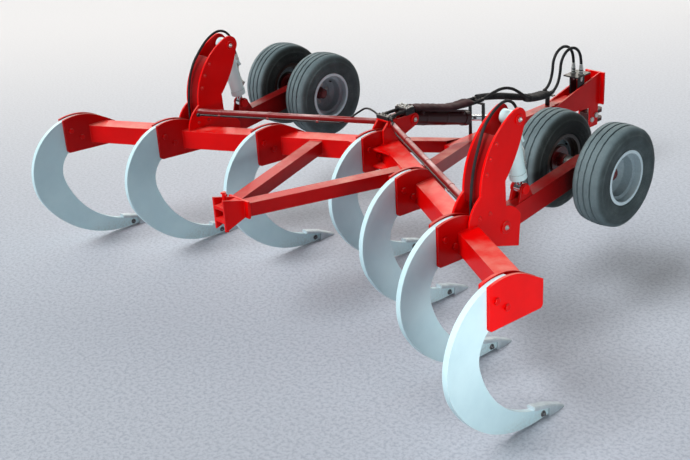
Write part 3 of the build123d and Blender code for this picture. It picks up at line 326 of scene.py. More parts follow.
steelShared = {
    "rounding": 0.003, "broad": (9.0, 6.0, 0.65), "fine": (130.0, 6.0, 0.7), "driftBand": (0.3, 0.7),
    "bright": tone(225, 228, 230), "edgeGain": 6.0, "edgeBand": (0.25, 0.8), "edgeBright": 0.6,
    "rust": 0.5, "rustBand": (0.72, 0.95), "rustBroad": 0.7, "rustFine": 0.45, "rustTone": tone(112, 70, 44),
    "bump": 0.15, "bumpDeep": 0.001, "rough": 0.28, "fineRough": 0.18, "rustRough": 0.3, "metal": 0.9}
steels = {
    "pointSteel": dict(base=tone(198, 212, 218), drifted=tone(172, 186, 192), metal=0.35, rough=0.36,
                       rustBand=(0.7, 0.92)),
    "zincSteel": dict(base=tone(196, 198, 196), drifted=tone(178, 180, 176), rust=0.2),
    "rodChrome": dict(base=tone(224, 226, 228), drifted=tone(214, 217, 220), metal=1.0, rough=0.06, rust=0.0,
                      bump=0.02),
    "darkSteel": dict(base=tone(74, 78, 82), drifted=tone(58, 60, 64), metal=0.6, rough=0.42, rust=0.4),
    "clevisIron": dict(base=tone(92, 40, 38), drifted=tone(70, 44, 42), metal=0.35, rough=0.5, bump=0.4),
}


def makeSteel(name, own):
    # bare or plated steel: mottled tone, fine scratches and a touch of rust
    look = {**steelShared, **own}
    steel = Finish(name, {})
    soft, edge = steel.edges(look["rounding"])
    broad = steel.noise(*look["broad"])
    fine = steel.noise(*look["fine"])
    rust = (broad * look["rustBroad"] + fine * look["rustFine"]).above(*look["rustBand"]) * look["rust"]
    colour = steel.mix(broad.above(*look["driftBand"]), look["base"], look["drifted"])
    rubbed = (edge * look["edgeGain"]).above(*look["edgeBand"]) * look["edgeBright"]
    colour = steel.mix(rubbed, colour, look["bright"])
    colour = steel.mix(rust, colour, look["rustTone"])
    rough = look["rough"] + fine * look["fineRough"] + rust * look["rustRough"]
    return steel.feed(colour=colour, rough=rough, metal=(1 - rust) * look["metal"],
                      normal=steel.bump(look["bump"], look["bumpDeep"], fine, soft))


rubberShared = {
    "ior": 1.45, "gleam": 0.3, "broad": (5.0, 5.0, 0.6), "fine": (160.0, 5.0, 0.7), "driftBand": (0.3, 0.7),
    "tread": None, "scuffBroad": 0.9, "scuffFine": 0.3, "stripShare": 0.85,
    "dust": 0.5, "dustBand": (0.5, 0.75), "dustBroad": 0.5, "dustFine": 0.5,
    "bump": 0.25, "bumpDeep": 0.0015, "rough": 0.62, "fineRough": 0.2}
rubbers = {
    "tyreRubber": dict(base=tone(58, 68, 70), worn=tone(74, 87, 89), dustTone=tone(128, 138, 138),
                       tread=tone(104, 122, 127), treadFrom=(0.322, 0.353),
                       strip={"x": armX, "half": 0.19, "soft": 0.035, "tone": tone(30, 35, 34)}),
    "hoseRubber": dict(base=tone(22, 22, 24), worn=tone(38, 38, 40), dustTone=tone(84, 82, 80)),
    "coverCloth": dict(base=tone(38, 12, 16), worn=tone(56, 18, 24), dustTone=tone(92, 62, 64)),
}


def makeRubber(name, own):
    look = {**rubberShared, **own}
    rubber = Finish(name, {"IOR": look["ior"], "Specular IOR Level": look["gleam"]})
    broad = rubber.noise(*look["broad"])
    fine = rubber.noise(*look["fine"])
    colour = rubber.mix(broad.above(*look["driftBand"]), look["base"], look["worn"])
    if look["tread"]:  # ribs scuffed pale by the road, and the shaded walls between the dual wheels
        scuff = broad * look["scuffBroad"] + fine * look["scuffFine"]
        colour = rubber.mix(rubber.radius(axleAt).above(*look["treadFrom"]) * scuff, colour, look["tread"])
        colour = rubber.mix(rubber.between(look["strip"]) * look["stripShare"], colour, look["strip"]["tone"])
    dust = (broad * look["dustBroad"] + fine * look["dustFine"]).above(*look["dustBand"]) * look["dust"]
    colour = rubber.mix(dust, colour, look["dustTone"])
    return rubber.feed(colour=colour, rough=look["rough"] + fine * look["fineRough"],
                       normal=rubber.bump(look["bump"], look["bumpDeep"], fine, None))


finishes = {}
for make, family in ((makePaint, paints), (makeSteel, steels), (makeRubber, rubbers)):
    for name, own in family.items():
        finishes[name] = make(name, own)
print("finishes:", len(finishes))

# nodes whose finish isn't that of their slot; the seventh holder, at the near end, keeps the bright red, and the
# other six take a darker copy of it as painted shade
paintedOver = {"redPaint": ["frame_pins", "arm_pins_left", "arm_pins_right"],
               "holderPaint": ["shank_holder_" + str(number) for number in range(1, 7)],
               "shankBoltPaint": ["shank_bolts"],
               "legPaint": ["rear_hitch_legs", "tongue_legs"],
               "towerPaint": ["lift_tower_left", "lift_tower_right"],
               "armPaint": ["wheel_arm_left", "wheel_arm_right"],
               "stayPaint": ["tower_stays"]}


def slotFinish(slot):
    # a slot such as red_paint has the finish redPaint
    first, *rest = slot.split("_")
    return first + "".join(word.title() for word in rest)


def dressNodes():
    chosen = {row["node"]: slotFinish(row["material_slot"]) for row in frame["record"]["subparts"]}
    for finish, names in paintedOver.items():
        chosen.update({name: finish for name in names})
    for name, node in nodes.items():
        node.data.materials.clear()
        node.data.materials.append(finishes[chosen[name]])


dressNodes()
print("nodes dressed")


def basis(ahead):
    ahead = Vector(ahead).normalized()
    across = ahead.orthogonal().normalized()
    return ahead, across, ahead.cross(across)


def circle(centre, across, upward, radius, count):
    turns = [math.tau * k / count for k in range(count)]
    return [centre + (across * math.cos(a) + upward * math.sin(a)) * radius for a in turns]


def scaled(profile, size):
    return [(along * size, radius * size) for along, radius in profile]


bandEdge = 0.001


def bandProfile(inner, over, long, under=0.0):
    # a flat band round something, its edges turned in
    low, high = inner - under, inner + over
    return [(0.0, low), (bandEdge, high), (long - bandEdge, high), (long, low)]


# bolts and nuts, as shares of the hexagon's radius; the nut's own top as shares of its height and radius
boltForm = {"washer": [(0.0, 1.45), (0.22, 1.4)], "thread": [(0.9, 0.5), (1.25, 0.5), (1.4, 0.4)],
            "threadSides": 16, "nutFrom": 0.2, "nutHigh": 0.8, "shoulder": 0.8, "crown": 0.84}


class Shape:
    # faces gathered in one mesh, made into a piece at the end
    def __init__(self):
        self.mesh = bmesh.new()

    def skin(self, rings, closed=False):
        made = [[self.mesh.verts.new(point) for point in ring] for ring in rings]
        pairs = list(zip(made, made[1:]))
        if closed:
            pairs.append((made[-1], made[0]))
        for low, high in pairs:
            for k in range(len(low)):
                self.mesh.faces.new((low[k - 1], low[k], high[k], high[k - 1]))
        if not closed:
            self.mesh.faces.new(made[0])
            self.mesh.faces.new(made[-1])

    def turned(self, origin, ahead, profile, count=24):
        # profile holds (along, radius) from one end to the other
        origin = Vector(origin)
        ahead, across, upward = basis(ahead)
        rings = [circle(origin + ahead * along, across, upward, wide, count) for along, wide in profile]
        self.skin(rings)

    def hexNut(self, origin, ahead, radius, height):
        top = [(height * boltForm["shoulder"], radius), (height, radius * boltForm["crown"])]
        self.turned(origin, ahead, [(0.0, radius)] + top, 6)

    def bolt(self, origin, ahead, radius):
        # washer, hexagon and the end of the thread
        seat = Vector(origin) + Vector(ahead).normalized() * radius * boltForm["nutFrom"]
        self.turned(origin, ahead, scaled(boltForm["washer"], radius))
        self.hexNut(seat, ahead, radius, radius * boltForm["nutHigh"])
        self.turned(origin, ahead, scaled(boltForm["thread"], radius), boltForm["threadSides"])

    def tube(self, path, radius, count):
        rings = []
        across = basis(path[1] - path[0])[1]
        for k, point in enumerate(path):
            ahead = (path[min(k + 1, len(path) - 1)] - path[max(k - 1, 0)]).normalized()
            across = (across - ahead * across.dot(ahead)).normalized()
            wide = radius(k) if callable(radius) else radius
            rings.append(circle(point, across, ahead.cross(across), wide, count))
        self.skin(rings)

    def block(self, low, high, chamfer):
        # a bar along X with its long edges taken off
        (x0, y0, z0), (x1, y1, z1) = low, high
        c = chamfer
        outline = [(y0 + c, z0), (y1 - c, z0), (y1, z0 + c), (y1, z1 - c),
                   (y1 - c, z1), (y0 + c, z1), (y0, z1 - c), (y0, z0 + c)]
        self.skin([[Vector((x, y, z)) for y, z in outline] for x in (x0, x1)])

    def piece(self, name, finish, slotName, body=None, keen=38.0):
        mesh = bpy.data.meshes.new(name)
        bmesh.ops.recalc_face_normals(self.mesh, faces=self.mesh.faces[:])
        self.mesh.to_mesh(mesh)
        self.mesh.free()
        mesh.materials.append(finishes[finish])
        mesh.shade_smooth()
        mesh.set_sharp_from_angle(angle=math.radians(keen))
        made = addObject(name, mesh)
        if body:
            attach(made, body)
        return made


# hoses to the tractor: (y, z) along each, from the mast over the hoop and the post up into the rack
tongueHoseSet = {
    "diameter": 0.026, "aside": 0.042,
    "fromMast": [(-0.5185, 1.2268), (-0.3385, 1.2408), (-0.1185, 1.2028), (0.0815, 1.1468), (0.2645, 1.0938)],
    "overHoop": {"left": [(0.5815, 1.0898), (0.9045, 1.0258)],
                 "right": [(0.5815, 1.0758), (0.7395, 1.1118), (0.8765, 1.1178), (0.9885, 1.0838),
                           (1.0695, 1.0358)]},
    "toRack": [(1.2255, 0.9238), (1.4055, 0.8938), (1.5355, 0.8898), (1.6245, 0.9458), (1.6615, 1.0468),
               (1.6675, 1.1548), (1.7405, 1.2338), (1.8475, 1.2468), (1.938, 1.1878), (1.972, 1.0878),
               (1.972, 1.0078)],
    "bendFrom": (0.0, -0.40, 1.2), "bendTo": (0.0, 0.40, 1.2)}

# lift hoses: from the barrel's port over the tower's tip and down its back to the beam
liftHoseSet = {
    "diameter": 0.020,
    "run": [(1.506, -0.7161, 1.4831), (1.506, -0.7349, 1.567), (1.506, -0.7455, 1.6426),
            (1.506, -0.774, 1.7027), (1.506, -0.8172, 1.7444), (1.506, -0.8746, 1.7619),
            (1.506, -0.9337, 1.7515), (1.506, -1.0094, 1.7129), (1.506, -1.0911, 1.6393),
            (1.524, -1.161, 1.5357), (1.524, -1.2076, 1.4143), (1.524, -1.2324, 1.2867),
            (1.524, -1.2415, 1.157), (1.524, -1.2415, 1.0348)],
    "bendFrom": (1.506, -0.95, 1.7), "bendTo": (1.506, -0.74, 1.7)}
hoseSides = 16
lineSteps = 10


def hosePath(points):
    # the smooth line that a hose takes along its points
    curve = bpy.data.curves.new("hoseLine", "CURVE")
    curve.dimensions = "3D"
    curve.resolution_u = lineSteps
    line = curve.splines.new("NURBS")
    line.points.add(len(points) - 1)
    for at, point in zip(line.points, points):
        at.co = (*point, 1.0)
    line.order_u = 3
    line.use_endpoint_u = True
    holder = bpy.data.objects.new("hoseLine", curve)
    mesh = bpy.data.meshes.new_from_object(holder)
    path = [vertex.co.copy() for vertex in mesh.vertices]
    bpy.data.objects.remove(holder)
    bpy.data.curves.remove(curve)
    bpy.data.meshes.remove(mesh)
    return path


def makeHose(name, points, diameter, node):
    path = hosePath(points)
    shape = Shape()
    shape.tube(path, diameter / 2, hoseSides)
    hose = shape.piece(name, "hoseRubber", "hose_rubber")
    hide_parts(node)
    return hose, path


hosePaths = {}
for side, facing in sides.items():
    look = tongueHoseSet
    run = look["fromMast"] + look["overHoop"][side] + look["toRack"]
    run = [(facing * look["aside"], y, z) for y, z in run]
    hose, hosePaths[side] = makeHose("tongueHose_" + side, run, look["diameter"], "tongue_hoses")
    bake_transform(hose)
for side, facing in sides.items():
    look = liftHoseSet
    run = [(x * facing, y, z) for x, y, z in look["run"]]
    hose, hosePaths["lift_" + side] = makeHose("liftHose_" + side, run, look["diameter"], "lift_hoses")
    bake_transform(hose)

tongueRadius = tongueHoseSet["diameter"] / 2
liftRadius = liftHoseSet["diameter"] / 2

# crimped shells: radii as shares of the hose's radius or of the shell's own
shellSet = {"long": 0.05, "grow": 1.32, "bore": 0.9, "foot": 0.95, "ribs": 4, "ribFrom": 0.001,
            "ribTo": 0.006, "grooveAt": 0.0075, "groove": 0.94, "lip": 0.96, "lipHigh": 0.002,
            "seal": 1.02, "nut": 1.25, "nutHigh": 0.016, "aimPoint": 4}


def pathAt(path, y):
    # the first point of a hose at or past y, with its direction
    k = next(k for k, point in enumerate(path) if point.y >= y)
    return path[k], (path[k + 1] - path[k - 1]).normalized()


def addShell(shape, path, radius, lead=0.0):
    # crimped shell and hexagon, lead metres along the hose from its end
    look = shellSet
    ahead = (path[look["aimPoint"]] - path[0]).normalized()
    start = path[0] + ahead * lead
    wide = radius * look["grow"]
    long = look["long"]
    rim = [(0.0, radius * look["bore"]), (0.0, wide * look["foot"])]
    for k in range(look["ribs"]):
        at = look["nutHigh"] + (long - look["nutHigh"]) * k / look["ribs"]
        rim += [(at + look["ribFrom"], wide), (at + look["ribTo"], wide)]
        rim.append((at + look["grooveAt"], wide * look["groove"]))
    rim += [(long, wide * look["lip"]), (long + look["lipHigh"], radius * look["seal"])]
    shape.turned(start, ahead, rim)
    shape.hexNut(start, ahead, wide * look["nut"], look["nutHigh"])


# block on the mast's top where the tractor's hoses end
hoseBlockSet = {"long": 0.048, "high": 0.031, "chamfer": 0.004, "boltsX": (0.012, 0.054), "bolt": 0.006}


def makeHoseBlock(look):
    mastLow, mastHigh = corners("mast")
    start = hosePaths["left"][0].y
    top = mastHigh.z + look["high"]
    block = Shape()
    block.block((mastLow.x, start, mastHigh.z), (mastHigh.x, start + look["long"], top), look["chamfer"])
    for side, facing in sides.items():
        addShell(block, hosePaths[side], tongueRadius, look["long"])
        for x in look["boltsX"]:
            block.bolt((facing * x, start + look["long"] / 2, top), (0, 0, 1), look["bolt"])
    block.piece("hoseBlock", "rackPaint", "rack_paint", "frame")


# two-part clamp across the mast's plates, above the levelling cylinder's eye and a little behind it
saddleSet = {"rear": -0.318, "front": -0.222, "overEye": 0.052, "up": 0.030, "split": 0.0015, "capIn": 0.004,
             "footChamfer": 0.004, "capChamfer": 0.007, "boltsX": (-0.054, 0.0, 0.054), "boltIn": 0.024,
             "bolt": 0.0095}


def makeSaddle(look):
    half = corners("mast")[1].x
    front, rear = look["front"], look["rear"]
    line = pathAt(hosePaths["left"], (front + rear) / 2)[0].z
    seat = joints["level_barrel_swing"]["pos_m"][2] + look["overEye"]
    clamp = Shape()
    clamp.block((-half, rear, seat), (half, front, line - look["split"]), look["footChamfer"])
    clamp.block((-half, rear + look["capIn"], line + look["split"]),
                (half, front - look["capIn"], line + look["up"]), look["capChamfer"])
    clamp.piece("hoseSaddle", "rackPaint", "rack_paint", "frame")
    studs = Shape()
    for x in look["boltsX"]:
        for y in (rear + look["boltIn"], front - look["boltIn"]):
            studs.bolt((x, y, line + look["up"]), (0, 0, 1), look["bolt"])
    studs.piece("saddleBolts", "zincSteel", "zinc_steel", "frame")


# couplers through the rack's plate: drops are below the hose's end
couplerSet = {"nutDrop": 0.046, "nut": 0.027, "nutHigh": 0.014, "collarDrop": 0.024, "collar": 0.0195,
              "collarOver": 0.003, "collarHigh": 0.012, "noseDrop": 0.0585,
              "nose": [(0.0, 0.021), (0.012, 0.021), (0.014, 0.0165), (0.04, 0.0165), (0.042, 0.0125),
                       (0.052, 0.0125)]}


def makeCouplers(look):
    plugs = Shape()
    for side in sides:
        path = hosePaths[side]
        end = path[-1]
        addShell(plugs, path[::-1], tongueRadius)
        plugs.hexNut(end - Vector((0, 0, look["nutDrop"])), (0, 0, 1), look["nut"], look["nutHigh"])
        collar = bandProfile(look["collar"], look["collarOver"], look["collarHigh"])
        plugs.turned(end - Vector((0, 0, look["collarDrop"])), (0, 0, 1), collar)
        plugs.turned(end - Vector((0, 0, look["noseDrop"])), (0, 0, -1), look["nose"])
    plugs.piece("couplerPlugs", "zincSteel", "zinc_steel", "tongue")


# clips on the hoop and the post: where along Y, and the height of what they are bolted to
hoopY = tongueHoseSet["overHoop"]["left"][0][0]
clipSet = {"seats": ((hoopY, 1.0626), (1.548, 0.8766)), "long": 0.022, "thick": 0.004, "footOut": 0.02,
           "footIn": 0.8, "footTop": 0.2, "chamfer": 0.002, "boltOut": 0.008, "bolt": 0.006}


def addClip(shape, path, y, seat, look):
    # ring round the hose with a bolted foot down to its seat
    at, ahead = pathAt(path, y)
    half = look["long"] / 2
    wide = tongueRadius + look["thick"]
    ring = [(0.0, tongueRadius), (0.0, wide), (look["long"], wide), (look["long"], tongueRadius)]
    shape.turned(at - ahead * half, ahead, ring)
    inward = -1.0 if at.x > 0 else 1.0
    top = at.z - tongueRadius * look["footTop"]
    ends = (at.x + inward * tongueRadius * look["footIn"], at.x + inward * (wide + look["footOut"]))
    low, high = sorted(ends)
    shape.block((low, at.y - half, seat), (high, at.y + half, top), look["chamfer"])
    shape.bolt((at.x + inward * (wide + look["boltOut"]), at.y, top), (0, 0, 1), look["bolt"])


def makeClips(look):
    clips = Shape()
    for side in sides:
        for y, seat in look["seats"]:
            addClip(clips, hosePaths[side], y, seat, look)
    clips.piece("hoseClips", "rackPaint", "rack_paint", "tongue")


# woven sleeves round both hoses, pulled in where ties hold them, and a spiral wrap on the left hose
sleeveSet = {"thick": 0.009, "sides": 28, "tieEvery": 5, "tieAt": 2, "tied": 0.84, "ripple": 0.05,
             "rippleTurn": 1.9, "waist": 0.22, "keen": 50.0,
             "front": {"from": 1.22, "to": 1.51, "high": 0.036, "under": 0.036},
             "rear": {"from": -0.215, "to": 0.50, "high": 0.036, "under": 0.0155}}
wrapSet = {"from": 0.62, "underSleeve": 0.03, "thick": 0.017, "pitch": 0.022, "steps": 4, "groove": 0.0035,
           "sides": 18}


def hoseStretch(start, end):
    return [point for point in hosePaths["left"] if start <= point.y <= end]


def makeSleeve(look, part):
    half = tongueHoseSet["aside"] + tongueRadius + look["thick"]
    run = hoseStretch(part["from"], part["to"])
    rings = []
    for k, point in enumerate(run):
        ahead = (run[min(k + 1, len(run) - 1)] - run[max(k - 1, 0)]).normalized()
        upward = Vector((1, 0, 0)).cross(ahead)
        tied = 1.0 + look["ripple"] * math.sin(k * look["rippleTurn"])
        if k % look["tieEvery"] == look["tieAt"]:
            tied = look["tied"]
        ring = []
        for j in range(look["sides"]):
            a = math.tau * j / look["sides"]
            waist = 1 - look["waist"] * (1 - abs(math.cos(a))) ** 2  # dips between the two hoses
            reach = math.sin(a) * (part["high"] * tied * waist if j < look["sides"] / 2 else part["under"])
            ring.append(Vector((math.cos(a) * half, point.y, point.z)) + upward * reach)
        rings.append(ring)
    sleeve = Shape()
    sleeve.skin(rings)
    return sleeve


def makeSleeves(look):
    front = makeSleeve(look, look["front"])
    front.piece("hoseSleeve", "hoseRubber", "hose_rubber", "tongue", look["keen"])
    rear = makeSleeve(look, look["rear"])
    cover = rear.piece("hoseCover", "coverCloth", "hose_rubber", None, look["keen"])
    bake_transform(cover)


def makeWrap(look):
    run = hoseStretch(look["from"], sleeveSet["front"]["from"] + look["underSleeve"])
    thick = tongueRadius + look["thick"]
    wrapped = []
    for start, end in zip(run, run[1:]):
        steps = max(2, round((end - start).length / (look["pitch"] / look["steps"])))
        wrapped += [start.lerp(end, k / steps) for k in range(steps)]
    wrap = Shape()
    wrap.tube(wrapped, lambda k: thick - look["groove"] * (k % look["steps"] == 0), look["sides"])
    wrap.piece("hoseWrap", "hoseRubber", "hose_rubber", "tongue")


makeHoseBlock(hoseBlockSet)
makeSaddle(saddleSet)
makeCouplers(couplerSet)
makeClips(clipSet)
makeSleeves(sleeveSet)
makeWrap(wrapSet)
print("hoses fitted")

# lift cylinders: ports along the barrel from its pin, the steel line between them and the hose's foot
liftSet = {"barrel": 0.056, "portsAt": (0.23, 0.40), "bossIn": 0.006, "nutOut": 0.004, "nut": 0.021,
           "nutHigh": 0.014, "boss": [(0.0, 0.024), (0.008, 0.024), (0.011, 0.021)], "lineOut": 0.018,
           "line": 0.006, "lineSides": 12, "lead": 0.02, "bend": 0.05, "aside": 0.016, "elbow": 0.013,
           "elbowOver": 0.012, "elbowTip": 0.010, "tipOver": 0.014,
           "foot": [(0.0, 0.019), (0.004, 0.019), (0.006, 0.016)]}


def addPort(shape, boss, out, look):
    shape.turned(boss - out * look["bossIn"], out, look["boss"])
    shape.hexNut(boss + out * look["nutOut"], out, look["nut"], look["nutHigh"])


def makeLiftPlumbing(side, facing, look):
    path = hosePaths["lift_" + side]
    pin = Vector(joints[side + "_barrel_swing"]["pos_m"])
    along = Vector(joints[side + "_rod_slide"]["axis"])
    out = Vector((0, -along.z, along.y))
    port = Shape()
    addShell(port, path, liftRadius)
    bosses = [pin + along * at + out * look["barrel"] for at in look["portsAt"]]
    for boss in bosses:
        addPort(port, boss, out, look)
    high, low = [boss + out * look["lineOut"] for boss in bosses]
    elbow = [(0.0, look["elbow"]), (look["lineOut"] + look["elbowOver"], look["elbow"]),
             (look["lineOut"] + look["tipOver"], look["elbowTip"])]
    port.turned(bosses[1], out, elbow)
    aside = Vector((facing * look["aside"], 0, 0))
    lead, bend = along * look["lead"], along * look["bend"]
    line = [low, low - lead, low - bend + aside, high + bend + aside, high + lead]
    port.tube(line, look["line"], look["lineSides"])
    port.piece("liftPorts_" + side, "zincSteel", "zinc_steel", "lift_barrel_" + side)
    foot = Shape()
    addShell(foot, path[::-1], liftRadius)
    foot.turned(path[-1], (0, 0, 1), look["foot"])
    foot.piece("hoseFoot_" + side, "zincSteel", "zinc_steel", "frame")


# levelling cylinder: ports turned to the right of its top, the steel line and two bands
levelSet = {"barrel": 0.060, "portsAt": (0.11, 0.60), "turn": 35.0, "bossIn": 0.01, "nutOut": 0.006,
            "nut": 0.019, "nutHigh": 0.014, "boss": [(0.0, 0.024), (0.014, 0.024), (0.017, 0.02)],
            "lineOut": 0.022, "lineIn": 0.006, "line": 0.007, "lineSides": 12, "lead": 0.012, "bend": 0.05,
            "bandsAt": (0.16, 0.40), "bandLong": 0.021, "bandOver": 0.002, "bandUnder": 0.002,
            "bandSides": 40}


def makeLevelPlumbing(look):
    pin = Vector(joints["level_barrel_swing"]["pos_m"])
    along = Vector(joints["level_rod_slide"]["axis"])
    turn = math.radians(look["turn"])
    out = Vector((math.sin(turn), 0, 0)) + Vector((0, -along.z, along.y)) * math.cos(turn)
    ports = Shape()
    ends = []
    for at in look["portsAt"]:
        boss = pin + along * at + out * look["barrel"]
        addPort(ports, boss, out, look)
        ends.append(boss + out * look["lineOut"])
    rear, front = ends
    inward, lead, bend = out * look["lineIn"], along * look["lead"], along * look["bend"]
    line = [rear - inward, rear + lead, rear + bend, front - bend, front - lead, front - inward]
    ports.tube(line, look["line"], look["lineSides"])
    band = bandProfile(look["barrel"], look["bandOver"], look["bandLong"], look["bandUnder"])
    for at in look["bandsAt"]:
        ports.turned(pin + along * at, along, band, look["bandSides"])
    ports.piece("levelPorts", "levelPaint", "level_paint", "level_barrel")


for side, facing in sides.items():
    makeLiftPlumbing(side, facing, liftSet)
makeLevelPlumbing(levelSet)
print("cylinders fitted")

# tyres: ribbed tread with zigzag grooves
# the wall is (across, radius) from the tread's edge down to the bead and up the inside
tyreShape = {"crown": 0.363, "crownDrop": 0.0105, "treadHalf": 0.094, "grooves": (-0.05, 0.0, 0.05),
             "grooveHalf": 0.0065, "grooveDeep": 0.011, "grooveLead": 2.4, "grooveFloor": 0.7,
             "zigzag": 0.0012, "zigzags": 30, "steps": 6, "keen": 45.0,
             "wall": [(0.1015, 0.3425), (0.108, 0.33), (0.1135, 0.313), (0.1165, 0.3), (0.1185, 0.2985),
                      (0.1195, 0.285), (0.1198, 0.27), (0.119, 0.256), (0.1172, 0.254), (0.116, 0.242),
                      (0.113, 0.228), (0.1098, 0.2175), (0.1112, 0.215), (0.11, 0.2085), (0.1045, 0.201),
                      (0.0975, 0.1985), (0.095, 0.183), (0.085, 0.1805), (0.087, 0.2), (0.1, 0.23),
                      (0.106, 0.27), (0.096, 0.315), (0.07, 0.338)]}


def tyreSection(look):
    # (across, radius, zigzag share) round the whole closed section
    def crown(x):
        return look["crown"] - look["crownDrop"] * (x / look["treadHalf"]) ** 2

    edge = look["treadHalf"]
    half = look["grooveHalf"]
    lead, floor = half * look["grooveLead"], half * look["grooveFloor"]
    tread = [(-edge, crown(edge), 0.0)]
    for groove in look["grooves"]:
        deep = crown(groove) - look["grooveDeep"]
        tread += [(groove - lead, crown(groove - lead), 0.0), (groove - half, crown(groove - half), 1.0),
                  (groove - floor, deep, 1.0), (groove + floor, deep, 1.0),
                  (groove + half, crown(groove + half), 1.0), (groove + lead, crown(groove + lead), 0.0)]
    tread.append((edge, crown(edge), 0.0))
    right = [(x, r, 0.0) for x, r in look["wall"]]
    left = [(-x, r, 0.0) for x, r in reversed(look["wall"])]
    return tread + right + left


def makeTyre(number, look):
    centre = middle("tyre_" + number)
    section = tyreSection(look)
    count = look["zigzags"] * look["steps"]
    rings = []
    for k in range(count):
        a = math.tau * k / count
        phase = k % look["steps"] / look["steps"]
        swing = look["zigzag"] * (4 * abs(phase - 0.5) - 1)  # to one side and back, in straight runs
        out = Vector((0, math.cos(a), math.sin(a)))
        rings.append([centre + Vector((x + swing * share, 0, 0)) + out * r for x, r, share in section])
    tyre = Shape()
    tyre.skin(rings, closed=True)
    made = tyre.piece("tyreBody_" + number, "tyreRubber", "tyre_rubber", "wheel_" + number, look["keen"])
    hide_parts("tyre_" + number)


# wheel bolts on the disc, cap and its rim on the hub, and valve
wheelSet = {"nuts": 6, "circle": 0.079, "nut": 0.0125, "firstNut": 0.3, "discBehindCap": 0.052,
            "capRimIn": 0.012, "capRim": 0.0405, "capRimOver": 0.002, "capRimLong": 0.005, "capIn": 0.001,
            "cap": [(0.0, 0.030), (0.003, 0.028), (0.005, 0.014), (0.0055, 0.004)], "capSides": 32,
            "valveAt": 0.132, "valveTurn": 40.0, "valveIn": 0.004, "valveSides": 14,
            "valve": [(0.0, 0.008), (0.006, 0.008), (0.012, 0.0055), (0.034, 0.005), (0.035, 0.0062),
                      (0.044, 0.0062), (0.046, 0.004)]}


def makeWheelTrim(number, look):
    low, high = corners("wheel_hub_" + number)
    centre = middle("tyre_" + number)
    facing = 1.0 if (low.x + high.x) / 2 < centre.x else -1.0
    outward = Vector((facing, 0, 0))
    tip = Vector((high.x if facing > 0 else low.x, centre.y, centre.z))
    disc = tip - outward * look["discBehindCap"]
    body = "wheel_" + number

    def around(turn, radius):
        return disc + Vector((0, math.cos(turn), math.sin(turn))) * radius

    nuts = Shape()
    for k in range(look["nuts"]):
        turn = math.tau * k / look["nuts"] + look["firstNut"]
        nuts.bolt(around(turn, look["circle"]), outward, look["nut"])
    nuts.piece("wheelNuts_" + number, "zincSteel", "zinc_steel", body)
    cap = Shape()
    rim = bandProfile(look["capRim"], look["capRimOver"], look["capRimLong"])
    cap.turned(tip - outward * look["capRimIn"], outward, rim, look["capSides"])
    cap.turned(tip - outward * look["capIn"], outward, look["cap"], look["capSides"])
    cap.piece("hubCapRim_" + number, "hubPaint", "hub_paint", body)
    valve = Shape()
    root = around(math.radians(look["valveTurn"]), look["valveAt"])
    valve.turned(root - outward * look["valveIn"], outward, look["valve"], look["valveSides"])
    valve.piece("wheelValve_" + number, "hoseRubber", "hose_rubber", body)


for number in "1234":
    makeTyre(number, tyreShape)
    makeWheelTrim(number, wheelSet)
print("wheels dressed")

# weld beads: rippled runs where plates meet the beams and tubes
weldSet = {"size": 0.0058, "pitch": 0.0045, "ripple": 0.16, "chance": 0.1, "sides": 7}
stayWeldSet = {**weldSet, "size": 0.0045, "pitch": 0.004, "ripple": 0.15, "ringPoints": 20}
random.seed(11)


def addBead(shape, points, look=weldSet, closed=False):
    ends = points[1:] + points[:1] if closed else points[1:]
    path = []
    for start, end in zip(points, ends):
        start, end = Vector(start), Vector(end)
        steps = max(2, round((end - start).length / look["pitch"]))
        path += [start.lerp(end, k / steps) for k in range(steps)]
    path.append(Vector(ends[-1]))
    chance = look["chance"]
    wide = [1 + look["ripple"] * (k % 2) + random.uniform(-chance, chance) for k in range(len(path))]
    shape.tube(path, lambda k: look["size"] * wide[k], look["sides"])


beamLow, beamHigh = corners("main_beam_right")
noseHolder, endHolder = middle("shank_holder_4"), middle("shank_holder_7")
beamSlope = (endHolder.y - noseHolder.y) / (endHolder.x - noseHolder.x)
beamLean = math.hypot(1, beamSlope)
beamReach = (beamHigh.z - beamLow.z) / 2 * beamLean


def beamFace(x):
    # rear and front of the beam, measured along Y at that x
    line = beamHigh.y - beamReach + beamSlope * abs(x)
    return line - beamReach, line + beamReach


def stayAt(x):
    # the stay's middle line at that distance from the centre
    low, high = corners("tower_stays")
    radius = (high.z - low.z) / 2
    y = high.y - radius * beamLean + beamSlope * (abs(x) - corners("mast")[1].x)
    return Vector((x, y, low.z + radius)), radius


# plate sizes and places that the beads follow
frameSet = {"towerPlate": 0.016, "rearLegSpread": 0.1028, "earPlate": 0.018, "earGap": 0.124,
            "poleHigh": 0.12, "inset": 0.004}


def addHolderWelds(welds):
    for number in range(1, 8):
        low, high = corners("shank_holder_" + str(number))
        for x in (low.x, high.x):
            if abs(x) < beamHigh.x:
                rear, front = beamFace(x)
                loop = ((rear, beamLow.z), (front, beamLow.z), (front, beamHigh.z), (rear, beamHigh.z))
                addBead(welds, [(x, y, z) for y, z in loop], closed=True)


def addTowerWelds(welds, look):
    for side in sides:
        low, high = corners("lift_tower_" + side)
        for x in (low.x, low.x + look["towerPlate"], high.x - look["towerPlate"], high.x):
            front = beamFace(x)[1]
            addBead(welds, [(x, low.y, beamHigh.z), (x, front, beamHigh.z), (x, front, beamLow.z)])
    low, high = corners("mast")
    for x in (low.x, high.x):
        addBead(welds, [(x, low.y, beamHigh.z), (x, beamFace(x)[1] - look["inset"], beamHigh.z)])


